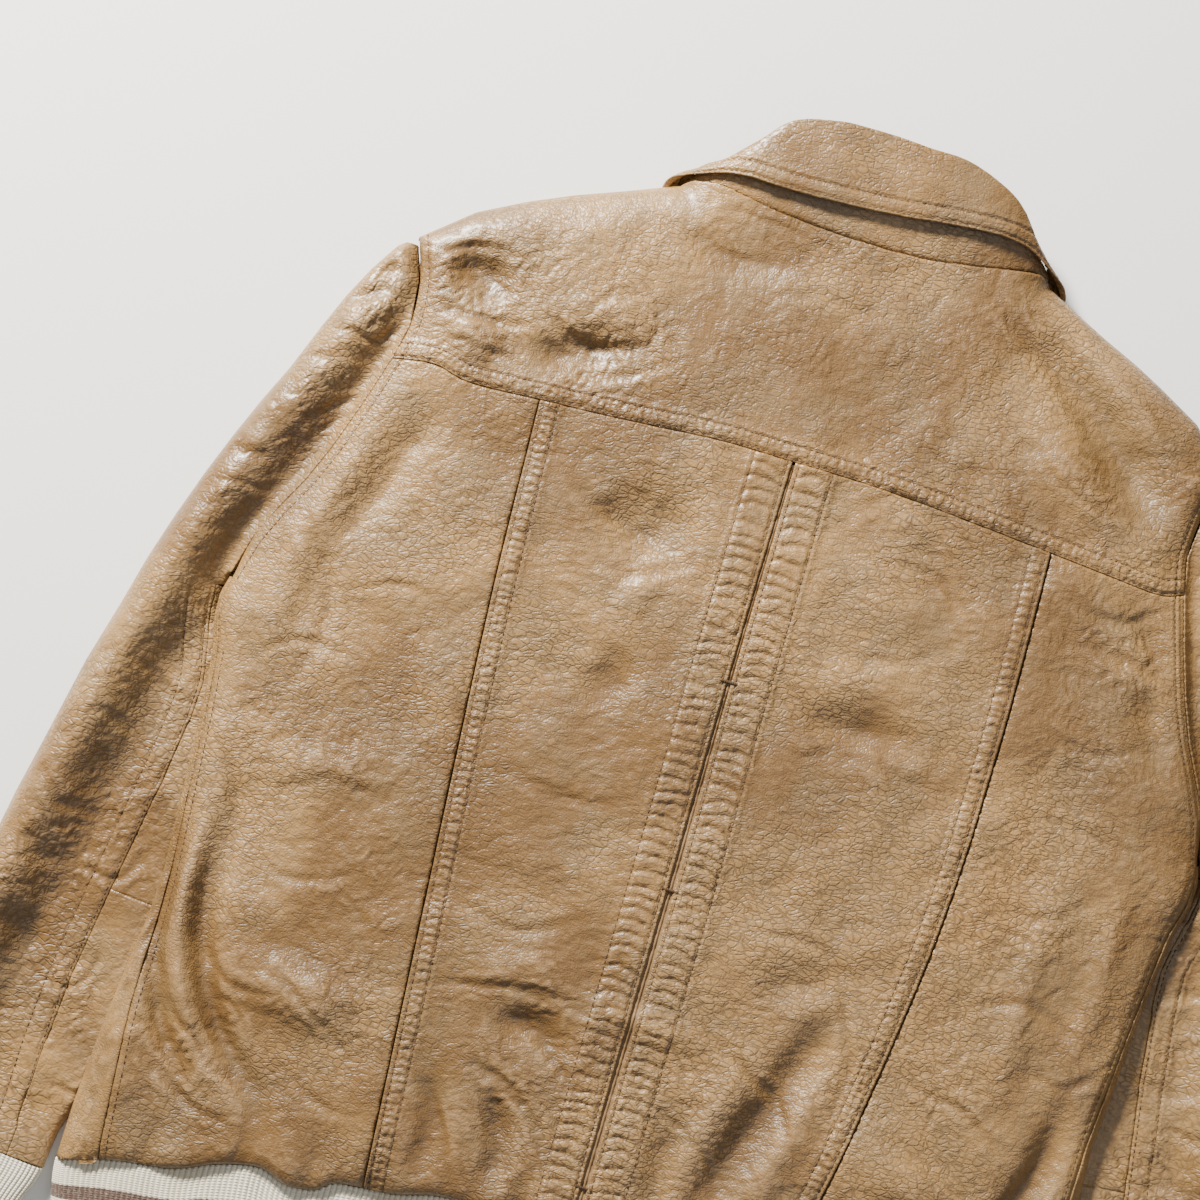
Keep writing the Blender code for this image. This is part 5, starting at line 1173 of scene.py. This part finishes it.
def sewn(name, runs, pitch, length, width):
    """Makes the stitches of some rows of thread as one piece."""
    places, ups, edges = [], [], []
    for run in runs:
        first = len(places)
        places += [tuple(place) for place, _ in run]
        ups += [tuple(up) for _, up in run]
        edges += [(first + k, first + k + 1) for k in range(len(run) - 1)]
    mesh = bpy.data.meshes.new(name)
    mesh.from_pydata(places, edges, [])
    mesh.attributes.new("up", "FLOAT_VECTOR", "POINT").data.foreach_set("vector", np.array(ups).ravel())
    made = placed(name, mesh)
    stitch_tree.grow(made, Pitch=pitch * MM, Length=length * MM, Width=width * MM, Material=thread.material)
    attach(made, "root")
    return made


def moved_line(points, distance):
    """A plan line moved sideways: to the left of its direction where the distance is above 0."""
    dense = Line(points).dense[:, :2]
    run = np.gradient(dense, axis=0)
    run = run / np.maximum(np.linalg.norm(run, axis=1, keepdims=True), 1e-9)
    return [tuple(place) for place in (dense + np.stack([-run[:, 1], run[:, 0]], axis=1) * distance)[::4]]


def sewn_beside(name, panels, line, offsets, pitch, length, width=0.8):
    """Rows of stitches on some panels, at their distances to the left of a plan line."""
    sewn(name, [run for panel in panels for offset in offsets
                for run in traced(panel, moved_line(line, offset))], pitch, length, width)


ARMHOLE_ROW, SIDE_ROW, PLACKET_ROW_X = 5.0, 3.4, 8
sewn_beside("stitches_yoke", ["back_yoke_hide"], YOKE_SEAM, YOKE_ROWS, 3.1, 2.5)
for side, word in ((-1, "left"), (1, "right")):
    panel, side_panel = "back_centre_hide_" + word, "back_side_hide_" + word
    slit_edge = [(px + side * half, py) for (px, py), half in zip(SLIT, SLIT_HALVES)]
    sewn_beside("stitches_slit_" + word, [panel], slit_edge, [side * row for row in SLIT_ROWS],
                3.4, 2.7, 0.85)
    princess = PRINCESS_LEFT if side < 0 else PRINCESS_RIGHT
    sewn_beside("stitches_princess_" + word, [panel], princess, [-side * row for row in PRINCESS_ROWS],
                3.9, 3.1, 0.85)
    arm = [(-side * px, py) for px, py, *_ in ARMHOLE_LEFT]
    sewn_beside("stitches_armhole_" + word, ["back_yoke_hide", side_panel], arm, [-side * ARMHOLE_ROW],
                3.2, 2.6)
    seam = [(-side * px, py) for px, py in SIDE_SEAM_LEFT[3:]]
    sewn_beside("stitches_side_" + word, [side_panel], seam, [-side * SIDE_ROW], 3.4, 2.7)
    seam = [(-side * px, py) for px, py in SLEEVE_BACK_SEAM[1:-1]]
    sewn_beside("stitches_sleeve_" + word, ["sleeve_hide_" + word], seam, [side * row for row in SLEEVE_ROWS],
                3.4, 2.7)
    edge = [(-side * PLACKET_ROW_X, y) for y in (58, -200, -438)]
    sewn("stitches_placket_" + word, traced("front_hide_" + word, edge, down=False), 3.4, 2.7, 0.8)
leaf_rows = []
leaf_normals = outward(leaf_face)
leaf_normals *= np.sign(leaf_normals[30, 170, 2])
for offset in LEAF_ROWS:
    nearest_row = np.argmin(abs(leaf_above - offset), axis=0)
    columns = np.arange(6, leaf_face.shape[1] - 6)
    spots = leaf_face[nearest_row[columns], columns] + (0, YOKE_SEAM_IN_FRAME, 0)
    leaf_rows.append(list(zip((spots * MM).tolist(), leaf_normals[nearest_row[columns], columns].tolist())))
sewn("stitches_collar", leaf_rows, 3.1, 2.5, 0.8)
TACK_LEVELS = (-124, -241, -408.5)
tacks = []
for level in TACK_LEVELS:
    middle = Line(SLIT).x_at(level)
    ends = [landing("back_centre_hide_" + word, middle + offset, level)
            for word, offset in (("left", -4.4), ("right", 4.4))]
    tacks.append([(place, Vector((0, 0, 1))) for place, _ in ends])
sewn("bar_tacks", tacks, 0.5, 0.62, 2.2)


# Press studs. Six brass caps closed through the placket, their brass mottled from dark and dull to bright.
STUD_LEVELS = np.linspace(48, -416, 6)
brass = Finish("worn brass", Metallic=1.0)
brass_where = brass.node("TexCoord", out=3)
brass_cloud = brass.noise(brass_where, 260.0, 4.0, 0.6)
brass.output(Base_Color=brass.mix(brass_cloud, (0.210, 0.140, 0.065), (0.560, 0.420, 0.210)),
             Roughness=0.28 + 0.3 * brass_cloud,
             Normal=brass.node("Bump", {}, {"Height": brass_cloud * 0.00004, "Distance": 1.0}))
STUD_PROFILE = (
    (6.1, 0.7), (6.5, 0.42), (6.35, 0.16), (5.8, 0.02), (5.1, 0.04), (4.7, 0.2), (4.2, 0.22), (3.6, 0.1),
    (2.2, 0.04), (0.8, 0.03),
)
for number, stud_y in enumerate(STUD_LEVELS, start=1):
    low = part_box(f"stud_{number}")[0].z
    places, faces, count = [], [], 40
    for radius, height in STUD_PROFILE:
        places += [(radius * MM * math.cos(turn),
                    (stud_y + YOKE_SEAM_IN_FRAME + radius * math.sin(turn)) * MM,
                    low + height * MM) for turn in np.linspace(0, 2 * math.pi, count, endpoint=False)]
    for row in range(len(STUD_PROFILE) - 1):
        for k in range(count):
            after = (k + 1) % count
            inner, outer = (row + 1) * count, row * count
            faces.append((outer + k, inner + k, inner + after, outer + after))
    faces.append(tuple(range((len(STUD_PROFILE) - 1) * count, len(STUD_PROFILE) * count))[::-1])
    faces.append(tuple(range(count)))
    mesh = bpy.data.meshes.new(f"press_stud_{number}")
    mesh.from_pydata(places, [], faces)
    mesh.shade_smooth()
    mesh.materials.append(brass.material)
    stud = placed(f"press_stud_{number}", mesh)
    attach(stud, "root")
    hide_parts(f"stud_{number}")


# Floor, light and camera. The jacket lies on a plain pale floor and is seen from straight above, with
# warm light low from the upper left of the picture and soft light from all round.
FLOOR_LEVEL = -0.0003
floor_mesh = bpy.data.meshes.new("floor")
floor_mesh.from_pydata([(x, y, FLOOR_LEVEL) for x, y in ((-3, -3), (3, -3), (3, 3), (-3, 3))],
                       [], [(0, 1, 2, 3)])
pale = Finish("pale floor", Roughness=0.9, Specular_IOR_Level=0.2)
pale.output(Base_Color=pale.mix(pale.noise(pale.node("TexCoord", out=3), 6.0), (0.80, 0.80, 0.80),
                                (0.83, 0.83, 0.83)))
floor_mesh.materials.append(pale.material)
floor = placed("floor", floor_mesh)
VIEW_CENTRE = Vector((-78.6, 80.0, 25.0)) * MM
VIEW_WIDTH = 0.649
VIEW_TURN = math.radians(16.7)


def lamp(name, direction, distance, size, watts, colour):
    light = bpy.data.lights.new(name, "AREA")
    light.shape, light.size, light.energy, light.color = "DISK", size, watts, colour
    made = placed(name, light)
    away = Vector(direction).normalized()
    made.location = VIEW_CENTRE + away * distance
    made.rotation_euler = away.to_track_quat("Z", "Y").to_euler()


lamp("key", (-0.95, 1.05, 0.84), 2.1, 0.40, 215, (1.0, 0.95, 0.86))
lamp("fill", (0.9, -0.9, 1.3), 2.4, 2.0, 8, (0.95, 0.97, 1.0))
lamp("top", (0.1, 0.2, 1.0), 2.6, 1.6, 9, (1.0, 0.98, 0.95))
world = bpy.data.worlds.new("studio")
world.use_nodes = True
world.node_tree.nodes["Background"].inputs["Color"].default_value = (0.95, 0.97, 1.0, 1)
world.node_tree.nodes["Background"].inputs["Strength"].default_value = 0.24
bpy.context.scene.world = world
camera = placed("camera", bpy.data.cameras.new("camera"))
camera.data.sensor_width, camera.data.lens = 36, 85
camera.location = VIEW_CENTRE + Vector((0, 0, VIEW_WIDTH * camera.data.lens / camera.data.sensor_width))
camera.rotation_euler = (0, 0, VIEW_TURN)
bpy.context.scene.camera = camera
